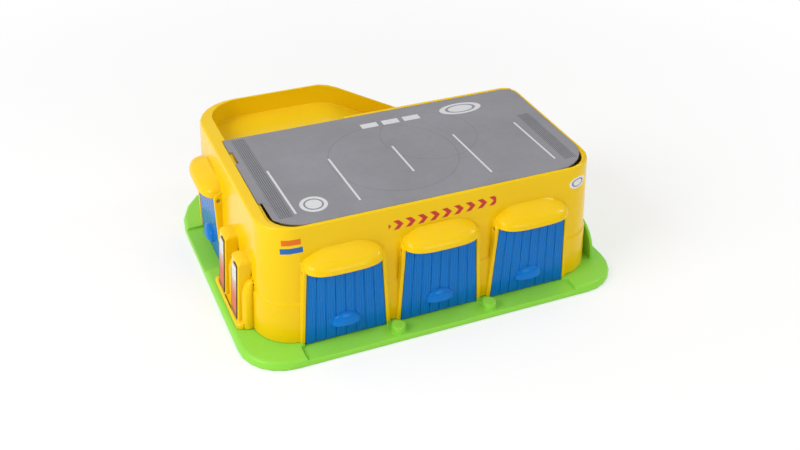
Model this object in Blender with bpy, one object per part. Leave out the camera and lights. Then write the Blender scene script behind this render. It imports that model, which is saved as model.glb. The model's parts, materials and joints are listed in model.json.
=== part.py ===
"""Toy garage with three front doors, one side door, a parking roof and a ramp behind it.

Metres, +Z up. The origin is on the ground under the middle of the base plate.
The long front with the three doors looks along -Y and the side door looks along -X.
"""
import math

import bmesh
import bpy
from mathutils import Matrix

# Base plate
BASE_LENGTH = 0.360
BASE_DEPTH = 0.314
BASE_CORNER = 0.040
BASE_BACK_LEFT_CORNER = 0.082
BASE_TOP = 0.0083
BASE_WALL = 0.0022
DRIVEWAY_STEP = 0.0028
BASE_RIB = 0.0016
BASE_RIB_PITCH = 0.058

# Body shell: its foot on the base plate and its height
MARGIN_LEFT = 0.0200
MARGIN_RIGHT = 0.0195
MARGIN_FRONT = 0.0232
MARGIN_BACK = 0.0380
RIM_TOP = 0.1197
DRAFT = math.radians(3.0)
WALL = 0.0024
FRONT_CORNER = 0.035
BACK_LEFT_CORNER = 0.048
BACK_RIGHT_CORNER = 0.012
STEP_TOP = 0.0473
STEP_OUT = 0.0012
RIM_ROUND = 0.0028

# Parking roof inside the rim
RIM_WIDTH = 0.0030
RIM_WIDTH_LEFT = 0.0105
ROOF_DEPTH = 0.1590
PARAPET = 0.0197
LEDGE = 0.0025
LEDGE_CORNER_EXTRA = 0.005
RECESS_CORNER_LEFT = 0.020
TURN_CORNER = 0.034
CARD_THICKNESS = 0.0012
CARD_CORNER_EXTRA = 0.011
CARD_NOTCH = 0.0034
CARD_FRONT_NOTCH = 0.044
CARD_SLOT_FROM_BACK = 0.024
CARD_SLOT_LENGTH = 0.021
CARD_SIDE_GAP = 0.0005

# Ramp behind the roof
RAMP_START = -0.034
RAMP_BLEND = 0.030
RAMP_END_RISE = 0.0018
RAMP_PARAPET_START = -0.026

# Doors and the openings they close
DOOR_COUNT = 3
DOOR_PITCH = 0.0874
DOORS_CENTRE_X = -0.0016
SIDE_DOOR_Y = 0.0355
DOOR_FOOT_WIDTH = 0.0736
DOOR_HEAD_WIDTH = 0.0648
DOOR_THICKNESS = 0.0024
DOOR_PROUD = 0.0028
DOOR_FOOT_GAP = 0.0012
DOOR_SIDE_GAP = 0.0005
DOOR_STOP = 0.0018
HINGE_HEIGHT = 0.0785
BARREL_RADIUS = 0.0031
PLANK_COUNT = 8
GROOVE_WIDTH = 0.0012
GROOVE_DEPTH = 0.0007
CHEEK_WIDTH = 0.0034
CHEEK_PROUD = 0.0036
HOOD_LIP = 0.0808
HOOD_HALF_WIDTH = 0.0346
HOOD_PROUD = 0.0162
HOOD_HEIGHT = 0.0220
HOOD_WALL = 0.0024
HOOD_PLAN_POWER = 3.2
HOOD_END_POWER = 4.0
HOOD_NOSE_POWER = 2.3
HOOD_LEVELS = (0.0, 0.22, 0.42, 0.58, 0.71, 0.81, 0.89, 0.945, 0.978, 0.994, 0.9994)
SLOT_REACH = 0.0018
SLOT_ROOM = 0.0022
HANDLE_HALF_WIDTH = 0.0135
HANDLE_HEIGHT = 0.0110
HANDLE_OUT = 0.0058
HANDLE_FLOOR = 0.0205
HANDLE_WALL = 0.0016

# Hinge pins and screws
PIN_RADIUS = 0.0015
PIN_RECESS = 0.0008
SCREW_RADIUS = 0.0016
SCREW_LENGTH = 0.020
SCREW_RUN_SIDE = 0.105
SCREW_RUNS_BACK = (0.011, 0.1145, 0.196)
SCREW_HEAD_RADIUS = 0.0035
SCREW_HEAD_HEIGHT = 0.0024
BOSS_RADIUS = 0.0046
BOSS_HEIGHT = 0.024
FOOT_CLEARANCE = 0.0008

# Pump island on the left wall
ISLAND_REACH = 0.0150
ISLAND_Y = -0.0600
ISLAND_LENGTH = 0.0800
ISLAND_HEIGHT = 0.0056
ISLAND_ROUND = 0.0017
ISLAND_CORNER = 0.0060
PUMPS_Y = -0.0635
PUMP_PITCH = 0.0410
PUMP_WIDTH = 0.0210
PUMP_TOP = 0.0742
PUMP_FOOT_REACH = 0.0130
PUMP_HEAD_REACH = 0.0080
PUMP_EDGE = 0.0014
# How far under a pump's top, how far its face has moved back there and how far its sides have moved in
PUMP_HEAD = ((0.0038, 0.0, 0.0), (0.0026, 0.0005, 0.0002), (0.0016, 0.0016, 0.0007), (0.0007, 0.0034, 0.0016),
             (0.0, 0.0064, 0.0034))
HOSE_RADIUS = 0.0054
HOSE_OUT = 0.0040
HOSE_TOP = 0.0570
LABEL_THICKNESS = 0.0006
LABEL_WIDTH = 0.0170
LABEL_FOOT = 0.0152
LABEL_TOP = 0.0700
LABEL_CUT_WIDTH = 0.0080
LABEL_CUT_HEIGHT = 0.0110

# Guard wall and knobs on the base plate
GUARD_THICKNESS = 0.0030
GUARD_TOP = 0.0420
GUARD_ROUND = 0.0300
GUARD_FRONT = -0.1215
GUARD_BACK = 0.0360
KNOB_RADIUS = 0.0062
KNOB_HEIGHT = 0.0072
KNOB_OUT = 0.0139

# Clearances between pieces
FIT = 0.0003
BORE_FIT = 0.0003

# How far a cutter's face keeps off a face that it would otherwise share
RELIEF = 0.0003

# Levels that follow from the sizes above
DRIVEWAY_TOP = BASE_TOP - DRIVEWAY_STEP
FOOT = BASE_TOP + FIT
ROOF_FLOOR = RIM_TOP - PARAPET
LEFT = -BASE_LENGTH / 2 + MARGIN_LEFT
RIGHT = BASE_LENGTH / 2 - MARGIN_RIGHT
FRONT = -BASE_DEPTH / 2 + MARGIN_FRONT
BACK = BASE_DEPTH / 2 - MARGIN_BACK
CORNER_STEPS = 6
SHARP_ANGLE = math.radians(32)

YELLOW = (0.93, 0.60, 0.02)
GREEN = (0.21, 0.52, 0.06)
BLUE = (0.01, 0.14, 0.45)
STEEL = (0.55, 0.55, 0.56)
CARD_GREY = (0.24, 0.24, 0.27)
LABEL_WHITE = (0.80, 0.80, 0.78)


def clear_scene():
    for item in list(bpy.data.objects):
        bpy.data.objects.remove(item, do_unlink=True)


def new_collection(name):
    collection = bpy.data.collections.new(name)
    bpy.context.scene.collection.children.link(collection)
    return collection


def plastic(name, colour, roughness, metallic=0.0):
    material = bpy.data.materials.new(name)
    material.use_nodes = True
    shader = material.node_tree.nodes["Principled BSDF"]
    shader.inputs["Base Color"].default_value = (*colour, 1.0)
    shader.inputs["Roughness"].default_value = roughness
    shader.inputs["Metallic"].default_value = metallic
    return material


def place(name, bm, collection, material=None):
    """Make an object from a bmesh, facing outwards and shaded smooth up to the sharp angle."""
    bmesh.ops.recalc_face_normals(bm, faces=bm.faces)
    if bm.calc_volume(signed=True) < 0:
        bmesh.ops.reverse_faces(bm, faces=bm.faces)
    mesh = bpy.data.meshes.new(name)
    bm.to_mesh(mesh)
    bm.free()
    mesh.shade_smooth()
    mesh.set_sharp_from_angle(angle=SHARP_ANGLE)
    item = bpy.data.objects.new(name, mesh)
    collection.objects.link(item)
    if material:
        mesh.materials.append(material)
    return item


def as_cutter(item):
    item.hide_render = True
    item.display_type = 'WIRE'
    return item


def boolean(target, tool, operation):
    modifier = target.modifiers.new(operation.lower() + " " + tool.name, 'BOOLEAN')
    modifier.operation = operation
    modifier.solver = 'EXACT'
    modifier.object = tool


def ring_extrude(bm, face, points):
    """Extrude a face and move its copy's corners to the given points."""
    result = bmesh.ops.extrude_face_region(bm, geom=[face])
    moved = [item for item in result["geom"] if isinstance(item, bmesh.types.BMFace)][0]
    for vertex, point in zip(moved.verts, points):
        vertex.co = point
    return moved


def loft(rings):
    """A closed solid through rings of equal point counts."""
    bm = bmesh.new()
    face = bm.faces.new([bm.verts.new(point) for point in rings[0]])
    for index, ring in enumerate(rings[1:]):
        moved = ring_extrude(bm, face, ring)
        if index:
            bmesh.ops.delete(bm, geom=[face], context='FACES_ONLY')
        face = moved
    return bm


def arc(centre_x, centre_y, radius, start, end, steps=CORNER_STEPS):
    """Points on an arc, angles in degrees."""
    points = []
    for step in range(steps + 1):
        angle = math.radians(start + (end - start) * step / steps)
        points.append((centre_x + radius * math.cos(angle), centre_y + radius * math.sin(angle)))
    return points


def plan(left, right, front, back, corners, inset=0.0):
    """A rectangle in plan with its own radius at each corner, drawn in by an inset.

    The corners are in the order front left, front right, back right, back left.
    """
    left, right, front, back = left + inset, right - inset, front + inset, back - inset
    radii = [max(radius - inset, 0.0005) for radius in corners]
    points = arc(left + radii[0], front + radii[0], radii[0], 180, 270)
    points += arc(right - radii[1], front + radii[1], radii[1], 270, 360)
    points += arc(right - radii[2], back - radii[2], radii[2], 0, 90)
    points += arc(left + radii[3], back - radii[3], radii[3], 90, 180)
    return points


def level(points, height):
    return [(x, y, height) for x, y in points]


def rod(bm, radius, start, end, segments=20):
    """A capped cylinder between two points."""
    run = [b - a for a, b in zip(start, end)]
    length = math.sqrt(sum(value * value for value in run))
    centre = [(a + b) / 2 for a, b in zip(start, end)]
    turn = Matrix.Identity(4)
    if abs(run[0]) > length / 2:
        turn = Matrix.Rotation(math.pi / 2, 4, 'Y')
    elif abs(run[1]) > length / 2:
        turn = Matrix.Rotation(math.pi / 2, 4, 'X')
    bmesh.ops.create_cone(bm, cap_ends=True, segments=segments, radius1=radius, radius2=radius,
                          depth=length, matrix=Matrix.Translation(centre) @ turn)


def dome(centre, radii, segments=28, rings=16, power=2.0):
    """A sphere drawn out to three radii; a higher power makes it squarer."""
    bm = bmesh.new()
    bmesh.ops.create_uvsphere(bm, u_segments=segments, v_segments=rings, radius=1.0)
    for vertex in bm.verts:
        spread = sum(abs(value) ** power for value in vertex.co) ** (-1.0 / power)
        vertex.co = [c + r * value * spread for c, r, value in zip(centre, radii, vertex.co)]
    return bm


def lean(height):
    """How far a drafted outer wall has moved in at a height, from its foot."""
    return (height - FOOT) * math.tan(DRAFT)


BODY_BOUNDS = (LEFT, RIGHT, FRONT, BACK)
BODY_CORNERS = (FRONT_CORNER, FRONT_CORNER, BACK_RIGHT_CORNER, BACK_LEFT_CORNER)
RIM_INSET = lean(RIM_TOP)
ROOF_LEFT = LEFT + RIM_INSET + RIM_WIDTH_LEFT
ROOF_RIGHT = RIGHT - RIM_INSET - RIM_WIDTH
ROOF_FRONT = FRONT + RIM_INSET + RIM_WIDTH
ROOF_BACK = ROOF_FRONT + ROOF_DEPTH
LANE_FRONT = ROOF_BACK + RIM_WIDTH
LANE_BACK = BACK - RIM_INSET - RIM_WIDTH
RAMP_FOOT = FOOT + RAMP_END_RISE
RAMP_SLOPE = (ROOF_FLOOR - RAMP_FOOT) / (RIGHT - RAMP_START - RAMP_BLEND)
CARD_TOP = RIM_TOP - FIT
CARD_SEAT = CARD_TOP - CARD_THICKNESS - FIT
HINGE_OUT = DOOR_PROUD - BARREL_RADIUS
PIN_BORE = PIN_RADIUS + BORE_FIT
CHEEK_HEAD_HALF = DOOR_HEAD_WIDTH / 2 + DOOR_SIDE_GAP + CHEEK_WIDTH
DOOR_FOOT = DRIVEWAY_TOP + DOOR_FOOT_GAP
RECESS_CORNER_RIGHT = FRONT_CORNER - RIM_INSET - RIM_WIDTH
RECESS_CORNERS = (RECESS_CORNER_LEFT, RECESS_CORNER_RIGHT, 0.001, 0.001)


def half_door(height):
    """Half the width of a door at a height: it narrows towards its head."""
    share = (height - DOOR_FOOT) / (HINGE_HEIGHT - DOOR_FOOT)
    return (DOOR_FOOT_WIDTH + (DOOR_HEAD_WIDTH - DOOR_FOOT_WIDTH) * share) / 2


def ramp_drop(x):
    """How far the ramp's surface lies under the roof's floor at x."""
    run = min(max(x, RAMP_START), RIGHT) - RAMP_START
    length = RIGHT - RAMP_START
    drop = RAMP_SLOPE * run * run / (2 * RAMP_BLEND)
    if run > RAMP_BLEND:
        drop = RAMP_SLOPE * (run - RAMP_BLEND / 2)
    if run > length - RAMP_BLEND:
        rest = length - run
        drop = RAMP_SLOPE * (length - RAMP_BLEND - rest * rest / (2 * RAMP_BLEND))
    return drop


def ramp_section(offset, left, right, roof):
    """An XZ outline: the ramp's line moved by an offset, closed by a flat roof above it."""
    steps = 20
    length = RIGHT - RAMP_START
    stations = [RAMP_START + length * step / steps for step in range(steps + 1)]
    stations = [left] + [x for x in stations if left < x < right] + [right]
    points = [(x, ROOF_FLOOR - ramp_drop(x) + offset) for x in stations]
    return points + [(right, roof), (left, roof)]


def run_along_y(outline, front, back):
    return loft([[(x, front, z) for x, z in outline], [(x, back, z) for x, z in outline]])


def run_along_x(outline, left, right):
    return loft([[(left, y, z) for y, z in outline], [(right, y, z) for y, z in outline]])


def bay_frames():
    """Name, wall matrix and pin side of each doorway.

    A doorway's own frame has its y = 0 at the foot of its wall, -y pointing out of the garage
    and x = 0 at the middle of the door.
    """
    frames = []
    for index in range(DOOR_COUNT):
        x = DOORS_CENTRE_X + (index - (DOOR_COUNT - 1) / 2) * DOOR_PITCH
        frames.append(("front_%d" % (index + 1), Matrix.Translation((x, FRONT, 0.0)), -1))
    side = Matrix.Translation((LEFT, SIDE_DOOR_Y, 0.0)) @ Matrix.Rotation(-math.pi / 2, 4, 'Z')
    frames.append(("side", side, 1))
    return frames


def cheek(side):
    """One side of a door surround: upright, splayed with the door, rounded into the wall above."""
    head = HOOD_LIP + HOOD_HEIGHT * 0.45
    outline = [(0.004, FOOT), (-CHEEK_PROUD, FOOT)]
    outline += [(-CHEEK_PROUD, HOOD_LIP)]
    outline += [(-CHEEK_PROUD + 0.35 * (CHEEK_PROUD + lean(head)), HOOD_LIP + 0.6 * (head - HOOD_LIP))]
    outline += [(lean(head) + 0.001, head), (0.010, head)]
    rings = []
    for gap in (DOOR_SIDE_GAP - RELIEF, DOOR_SIDE_GAP + CHEEK_WIDTH):
        rings.append([(side * (half_door(z) + gap), y, z) for y, z in outline])
    return loft(rings)


def superellipse(share, power):
    """Height of a rounded square's edge at a share of its half width."""
    return max(1.0 - abs(share) ** power, 0.0) ** (1.0 / power)


def hood_shape(thickness, height, back, steps, drop=0.0):
    """A bulging hood: a rounded lip in plan, upright rounded ends and a nose that rolls back to the wall."""
    middle = lean(HOOD_LIP)
    rings = []
    for share in HOOD_LEVELS:
        half = (HOOD_HALF_WIDTH - thickness) * superellipse(share, HOOD_END_POWER)
        reach = (HOOD_PROUD + middle - thickness) * superellipse(share, HOOD_NOSE_POWER)
        ring = [(-half, back)]
        for step in range(steps + 1):
            angle = math.pi * step / steps
            across = -math.copysign(abs(math.cos(angle)) ** (2 / HOOD_PLAN_POWER), math.cos(angle))
            out = abs(math.sin(angle)) ** (2 / HOOD_PLAN_POWER)
            ring.append((half * across, middle - reach * out))
        ring.append((half, back))
        rings.append(level(ring, HOOD_LIP + height * share))
    if drop:
        rings.insert(0, [(x, y, z - drop) for x, y, z in rings[0]])
    return loft(rings)


def body_outer(collection, material):
    """The drafted outside of the body with its moulded step and rounded rim."""
    step_end = STEP_TOP + STEP_OUT
    sections = [(FOOT, -STEP_OUT), (STEP_TOP, -STEP_OUT), (step_end, 0.0)]
    sections += [(RIM_TOP - RIM_ROUND, 0.0)]
    for angle in (30, 60, 90):
        turn = math.radians(angle)
        sections.append((RIM_TOP - RIM_ROUND * (1 - math.sin(turn)), RIM_ROUND * 0.6 * (1 - math.cos(turn))))
    rings = [level(plan(*BODY_BOUNDS, BODY_CORNERS, lean(z) + inset), z) for z, inset in sections]
    return place("body_shell", loft(rings), collection, material)


def body_cavity(cutters):
    """The hollow under the roof's floor and under the ramp."""
    sections = [(-0.001, WALL - STEP_OUT), (STEP_TOP - WALL, WALL - STEP_OUT)]
    sections += [(STEP_TOP + STEP_OUT - WALL, WALL), (ROOF_FLOOR - WALL, WALL)]
    rings = [level(plan(*BODY_BOUNDS, BODY_CORNERS, lean(z) + inset), z) for z, inset in sections]
    cavity = as_cutter(place("cavity", loft(rings), cutters))
    keep = run_along_y(ramp_section(-WALL, RAMP_START, RIGHT + 0.05, RIM_TOP + 0.05),
                       LANE_FRONT - RIM_WIDTH, BACK + 0.05)
    boolean(cavity, as_cutter(place("ramp_keep", keep, cutters)), 'DIFFERENCE')
    return cavity


def lane_wall(height):
    """The inner face of the back wall along the turn and the ramp: it leans with the draft."""
    return BACK - lean(height) - RIM_WIDTH


def roof_cutters(cutters):
    """The recess for the card, the parking floor under it, the turn behind it and the lane."""
    over = RIM_TOP + 0.03
    bounds = (ROOF_LEFT - CARD_SIDE_GAP, ROOF_RIGHT + CARD_SIDE_GAP, ROOF_FRONT - CARD_SIDE_GAP, ROOF_BACK)
    seat = loft([level(plan(*bounds, RECESS_CORNERS), z) for z in (CARD_SEAT, over)])
    inner = (RECESS_CORNER_LEFT + LEDGE_CORNER_EXTRA, *RECESS_CORNERS[1:])
    floor = loft([level(plan(*bounds, inner, LEDGE), z) for z in (ROOF_FLOOR, over)])
    turn_corners = (0.001, 0.001, 0.001, TURN_CORNER)
    turn_left = ROOF_LEFT + LEDGE
    turn_front = ROOF_BACK - 2 * LEDGE
    turn = loft([level(plan(turn_left, RAMP_PARAPET_START, turn_front, lane_wall(z), turn_corners), z)
                 for z in (ROOF_FLOOR, over)])
    lane_outline = ramp_section(0.0, RAMP_START - 0.01, RIGHT + 0.05, over)
    lane = loft([[(x, LANE_FRONT, z) for x, z in lane_outline],
                 [(x, lane_wall(z) + RELIEF, z) for x, z in lane_outline]])
    above = run_along_y(ramp_section(PARAPET + RELIEF, RAMP_START, RIGHT + 0.05, over + 0.01),
                        LANE_FRONT + RELIEF, BACK + 0.05)
    solids = []
    for name, solid in (("card_seat", seat), ("roof_floor", floor), ("turn", turn),
                        ("lane", lane), ("above_ramp_wall", above)):
        solids.append(as_cutter(place(name, solid, cutters)))
    return solids


def hood(name, frame, cutters):
    solid = hood_shape(0.0, HOOD_HEIGHT, lean(RIM_TOP) + WALL / 2, 20)
    solid.transform(frame)
    return as_cutter(place("hood_" + name, solid, cutters))


def tapered_opening(narrowing, front, back):
    """A doorway's block between two depths, splayed with the door."""
    rings = []
    for z in (-0.001, HOOD_LIP + RELIEF):
        half = half_door(z) + DOOR_SIDE_GAP - narrowing
        rings.append([(-half, front, z), (half, front, z), (half, back, z), (-half, back, z)])
    return loft(rings)


def box_solid(low, high):
    bm = bmesh.new()
    size = [b - a for a, b in zip(low, high)]
    centre = [(a + b) / 2 for a, b in zip(low, high)]
    bmesh.ops.create_cube(bm, size=1.0, matrix=Matrix.Translation(centre) @ Matrix.Diagonal((*size, 1.0)))
    return bm


def doorway(name, frame, cutters):
    """What a doorway takes out: the door's own space, the way in, the hood's inside and the hinge's slot.

    The way in is narrower than the door, so the closed door rests on the wall beside it.
    """
    stop_face = -DOOR_PROUD + DOOR_THICKNESS + FIT
    seat = tapered_opening(0.0, -0.05, stop_face)
    way_in = tapered_opening(DOOR_STOP, stop_face - 0.0002, 0.012)
    rise = min(HOOD_HEIGHT - HOOD_WALL, ROOF_FLOOR - 2 * WALL - HOOD_LIP)
    inside = hood_shape(HOOD_WALL, rise, 0.010, 12, BARREL_RADIUS / 2)
    half = half_door(HINGE_HEIGHT) + DOOR_SIDE_GAP * 0.6
    slot = box_solid((-half, -CHEEK_PROUD - SLOT_REACH, HINGE_HEIGHT - BARREL_RADIUS * 4),
                     (half, 0.012, HINGE_HEIGHT + BARREL_RADIUS + SLOT_ROOM))
    cut = []
    for kind, solid in (("seat", seat), ("way_in", way_in), ("hood_inside", inside), ("hinge_slot", slot)):
        solid.transform(frame)
        cut.append(as_cutter(place(kind + "_" + name, solid, cutters)))
    return cut


def pin_span(pin_side):
    """Start and end of a hinge pin along its doorway's x: open in one cheek, blind in the other."""
    seen = pin_side * (CHEEK_HEAD_HALF - PIN_RECESS)
    blind = -pin_side * (CHEEK_HEAD_HALF - CHEEK_WIDTH * 0.35)
    return seen, blind


def pin_bore(name, frame, pin_side, cutters):
    bm = bmesh.new()
    seen, blind = pin_span(pin_side)
    rod(bm, PIN_BORE, (seen + pin_side * 0.004, -HINGE_OUT, HINGE_HEIGHT),
        (blind - pin_side * FIT, -HINGE_OUT, HINGE_HEIGHT))
    bm.transform(frame)
    return as_cutter(place("pin_bore_" + name, bm, cutters))


def between_doors():
    """The middles of the walls between the front doors."""
    return [DOORS_CENTRE_X + (index - (DOOR_COUNT - 2) / 2) * DOOR_PITCH for index in range(DOOR_COUNT - 1)]


def screw_places():
    """Plan positions of the screws, each beside a straight run of the body's wall."""
    near = STEP_OUT + BOSS_RADIUS + 0.0004
    places = [(x, FRONT + near) for x in between_doors()]
    front_run = FRONT + FRONT_CORNER
    places += [(LEFT + near, front_run), (RIGHT - near, front_run)]
    places += [(RIGHT - near, front_run + SCREW_RUN_SIDE)]
    back_left = LEFT + BACK_LEFT_CORNER
    places += [(back_left + run, BACK - near) for run in SCREW_RUNS_BACK]
    return places


def pump_places():
    return [PUMPS_Y + PUMP_PITCH / 2, PUMPS_Y - PUMP_PITCH / 2]


def pump_face(height):
    """How far a pump's slanted face stands out from the foot of the wall."""
    share = (height - FOOT) / (PUMP_TOP - FOOT)
    return PUMP_FOOT_REACH + (PUMP_HEAD_REACH - PUMP_FOOT_REACH) * share


def pump_pillar(y):
    """A pillar with rounded edges, its head sloping up to the wall and its back inside the wall."""
    corners = (PUMP_EDGE, PUMP_EDGE, PUMP_EDGE, PUMP_EDGE)
    rings = []
    for drop, recess, inset in ((PUMP_TOP - FOOT - RELIEF, 0.0, 0.0), *PUMP_HEAD):
        z = PUMP_TOP - drop
        outline = plan(LEFT - pump_face(z) + recess, LEFT + lean(z) + WALL, y - PUMP_WIDTH / 2 + inset,
                       y + PUMP_WIDTH / 2 - inset, corners)
        rings.append(level(outline, z))
    return loft(rings)


def hose_column(y):
    """The thick column beside a pump, leaning back into the wall at its head."""
    radius = HOSE_RADIUS
    rings = []
    for drop, share in ((HOSE_TOP - FOOT - RELIEF, 1.0), (radius * 2.2, 1.0), (radius * 1.1, 0.86),
                        (radius * 0.4, 0.62), (0.0, 0.30)):
        z = HOSE_TOP - drop
        x = LEFT + lean(z) - HOSE_OUT + (1.0 - share) * radius
        rings.append(level(arc(x, y, radius * share, 0, 330, steps=11), z))
    return loft(rings)


def island_solids(cutters):
    """The kerb, the two pumps and a hose column beside each pump, all part of the left wall."""
    solids = []
    rings = []
    bounds = (LEFT - ISLAND_REACH, LEFT + WALL, ISLAND_Y - ISLAND_LENGTH / 2, ISLAND_Y + ISLAND_LENGTH / 2)
    top = FOOT + ISLAND_HEIGHT
    for z, inset in ((FOOT, 0.0), (top - ISLAND_ROUND, 0.0), (top, ISLAND_ROUND)):
        rings.append(level(plan(*bounds, (ISLAND_CORNER, 0.001, 0.001, ISLAND_CORNER), inset), z))
    solids.append(as_cutter(place("island_kerb", loft(rings), cutters)))
    for index, y in enumerate(pump_places()):
        number = index + 1
        solids.append(as_cutter(place("pump_%d" % number, pump_pillar(y), cutters)))
        hose_y = y - PUMP_WIDTH / 2 - HOSE_RADIUS / 2
        solids.append(as_cutter(place("pump_hose_%d" % number, hose_column(hose_y), cutters)))
    return solids


def body_bosses(cutters):
    solids = []
    for index, (x, y) in enumerate(screw_places()):
        bm = bmesh.new()
        rod(bm, BOSS_RADIUS, (x, y, FOOT), (x, y, FOOT + BOSS_HEIGHT), segments=16)
        solids.append(as_cutter(place("boss_%d" % (index + 1), bm, cutters)))
    return solids


def screw_bores(cutters):
    bm = bmesh.new()
    for x, y in screw_places():
        rod(bm, SCREW_RADIUS + BORE_FIT, (x, y, -0.001), (x, y, screw_tip() + FIT), segments=12)
    return as_cutter(place("screw_bores", bm, cutters))


def screw_seat():
    """Height of the face that the screw heads press against, inside the base plate."""
    return DRIVEWAY_TOP - BASE_WALL


def screw_tip():
    return screw_seat() - FIT + SCREW_LENGTH


def make_body(parts, cutters, material):
    body = body_outer(parts, material)
    for solid in island_solids(cutters):
        boolean(body, solid, 'UNION')
    for name, frame, _ in bay_frames():
        for side, label in ((-1, "left"), (1, "right")):
            solid = cheek(side)
            solid.transform(frame)
            boolean(body, as_cutter(place("cheek_%s_%s" % (name, label), solid, cutters)), 'UNION')
        boolean(body, hood(name, frame, cutters), 'UNION')
    for solid in roof_cutters(cutters):
        boolean(body, solid, 'DIFFERENCE')
    boolean(body, body_cavity(cutters), 'DIFFERENCE')
    for name, frame, pin_side in bay_frames():
        for solid in doorway(name, frame, cutters):
            boolean(body, solid, 'DIFFERENCE')
        boolean(body, pin_bore(name, frame, pin_side, cutters), 'DIFFERENCE')
    for solid in body_bosses(cutters):
        boolean(body, solid, 'UNION')
    boolean(body, screw_bores(cutters), 'DIFFERENCE')
    return body


def base_outline(inset):
    bounds = (-BASE_LENGTH / 2, BASE_LENGTH / 2, -BASE_DEPTH / 2, BASE_DEPTH / 2)
    return plan(*bounds, (BASE_CORNER, BASE_CORNER, BASE_CORNER, BASE_BACK_LEFT_CORNER), inset)


def base_cavity(cutters):
    """The hollow underside with its grid of ribs and a boss round each screw."""
    top = DRIVEWAY_TOP - BASE_WALL
    hollow = loft([level(base_outline(BASE_WALL * 2), z) for z in (-0.001, top)])
    cavity = as_cutter(place("base_hollow", hollow, cutters))
    kept = []
    for index in range(-int(BASE_LENGTH / 2 / BASE_RIB_PITCH), int(BASE_LENGTH / 2 / BASE_RIB_PITCH) + 1):
        x = index * BASE_RIB_PITCH
        rib = box_solid((x - BASE_RIB / 2, -BASE_DEPTH, -0.002), (x + BASE_RIB / 2, BASE_DEPTH, 0.1))
        kept.append(place("rib_x_%d" % index, rib, cutters))
    for index in range(-int(BASE_DEPTH / 2 / BASE_RIB_PITCH), int(BASE_DEPTH / 2 / BASE_RIB_PITCH) + 1):
        y = index * BASE_RIB_PITCH
        rib = box_solid((-BASE_LENGTH, y - BASE_RIB / 2, -0.002), (BASE_LENGTH, y + BASE_RIB / 2, 0.1))
        kept.append(place("rib_y_%d" % index, rib, cutters))
    for item in kept:
        boolean(cavity, as_cutter(item), 'DIFFERENCE')
    return cavity


def driveway_cutters(cutters):
    """Lower floors in front of the doors and through each doorway."""
    out = BASE_DEPTH
    front_face = FRONT - CHEEK_PROUD - FIT * 2
    half = DOOR_FOOT_WIDTH / 2 + DOOR_SIDE_GAP + CHEEK_WIDTH
    last = (DOOR_COUNT - 1) / 2 * DOOR_PITCH
    apron = loft([level(plan(DOORS_CENTRE_X - last - half, DOORS_CENTRE_X + last + half, front_face - out,
                             front_face, (0.001, 0.001, 0.004, 0.004), inset), z)
                  for z, inset in ((DRIVEWAY_TOP, 0.0), (BASE_TOP + 0.01, -0.004))])
    items = [as_cutter(place("apron", apron, cutters))]
    for name, frame, _ in bay_frames():
        reach = MARGIN_LEFT + 0.01 if name == "side" else CHEEK_PROUD + 0.01
        depth = 0.10 if name == "side" else ROOF_DEPTH * 0.8
        inner = half_door(DOOR_FOOT) + DOOR_SIDE_GAP
        lane = loft([level([(-inner, -reach), (inner, -reach), (inner, depth), (-inner, depth)], z)
                     for z in (DRIVEWAY_TOP, BASE_TOP + 0.01)])
        lane.transform(frame)
        items.append(as_cutter(place("driveway_" + name, lane, cutters)))
    return items


def guard_wall(cutters):
    """The guard wall outside the right wall, its top corners rounded."""
    low = GUARD_FRONT
    high = GUARD_BACK
    outline = [(low, BASE_TOP - 0.001), (high, BASE_TOP - 0.001)]
    outline += arc(high - GUARD_ROUND, GUARD_TOP - GUARD_ROUND, GUARD_ROUND, 0, 90)
    outline += arc(low + GUARD_ROUND, GUARD_TOP - GUARD_ROUND, GUARD_ROUND, 90, 180)
    start = RIGHT + STEP_OUT + FIT * 2
    return as_cutter(place("guard_wall", run_along_x(outline, start, start + GUARD_THICKNESS), cutters))


def make_base(parts, cutters, material):
    """The green base plate."""
    sections = [(0.0, 0.0008), (0.0012, 0.0), (0.0036, 0.0)]
    sections += [(BASE_TOP - 0.0021, 0.0010), (BASE_TOP - 0.0007, 0.0025), (BASE_TOP, 0.0048)]
    plate = loft([level(base_outline(inset), z) for z, inset in sections])
    base = place("base_plate", plate, parts, material)
    for item in driveway_cutters(cutters):
        boolean(base, item, 'DIFFERENCE')
    boolean(base, guard_wall(cutters), 'UNION')
    y = FRONT - KNOB_OUT
    for index, x in enumerate(between_doors()):
        knob = bmesh.new()
        low = DRIVEWAY_TOP - BASE_WALL / 2
        rod(knob, KNOB_RADIUS, (x, y, low), (x, y, DRIVEWAY_TOP + KNOB_HEIGHT), segments=16)
        boolean(base, as_cutter(place("knob_%d" % (index + 1), knob, cutters)), 'UNION')
    boolean(base, base_cavity(cutters), 'DIFFERENCE')
    ring_top = DRIVEWAY_TOP - BASE_WALL / 2
    for index, (x, y) in enumerate(screw_places()):
        ring = bmesh.new()
        rod(ring, SCREW_HEAD_RADIUS + BASE_WALL, (x, y, FOOT_CLEARANCE), (x, y, ring_top), segments=16)
        boolean(base, as_cutter(place("screw_ring_%d" % (index + 1), ring, cutters)), 'UNION')
    bores = bmesh.new()
    wells = bmesh.new()
    for x, y in screw_places():
        rod(bores, SCREW_RADIUS + BORE_FIT, (x, y, -0.002), (x, y, BASE_TOP + 0.004), segments=12)
        rod(wells, SCREW_HEAD_RADIUS + BORE_FIT, (x, y, -0.002), (x, y, screw_seat()), segments=16)
    boolean(base, as_cutter(place("screw_wells", wells, cutters)), 'DIFFERENCE')
    boolean(base, as_cutter(place("base_bores", bores, cutters)), 'DIFFERENCE')
    return base


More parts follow.
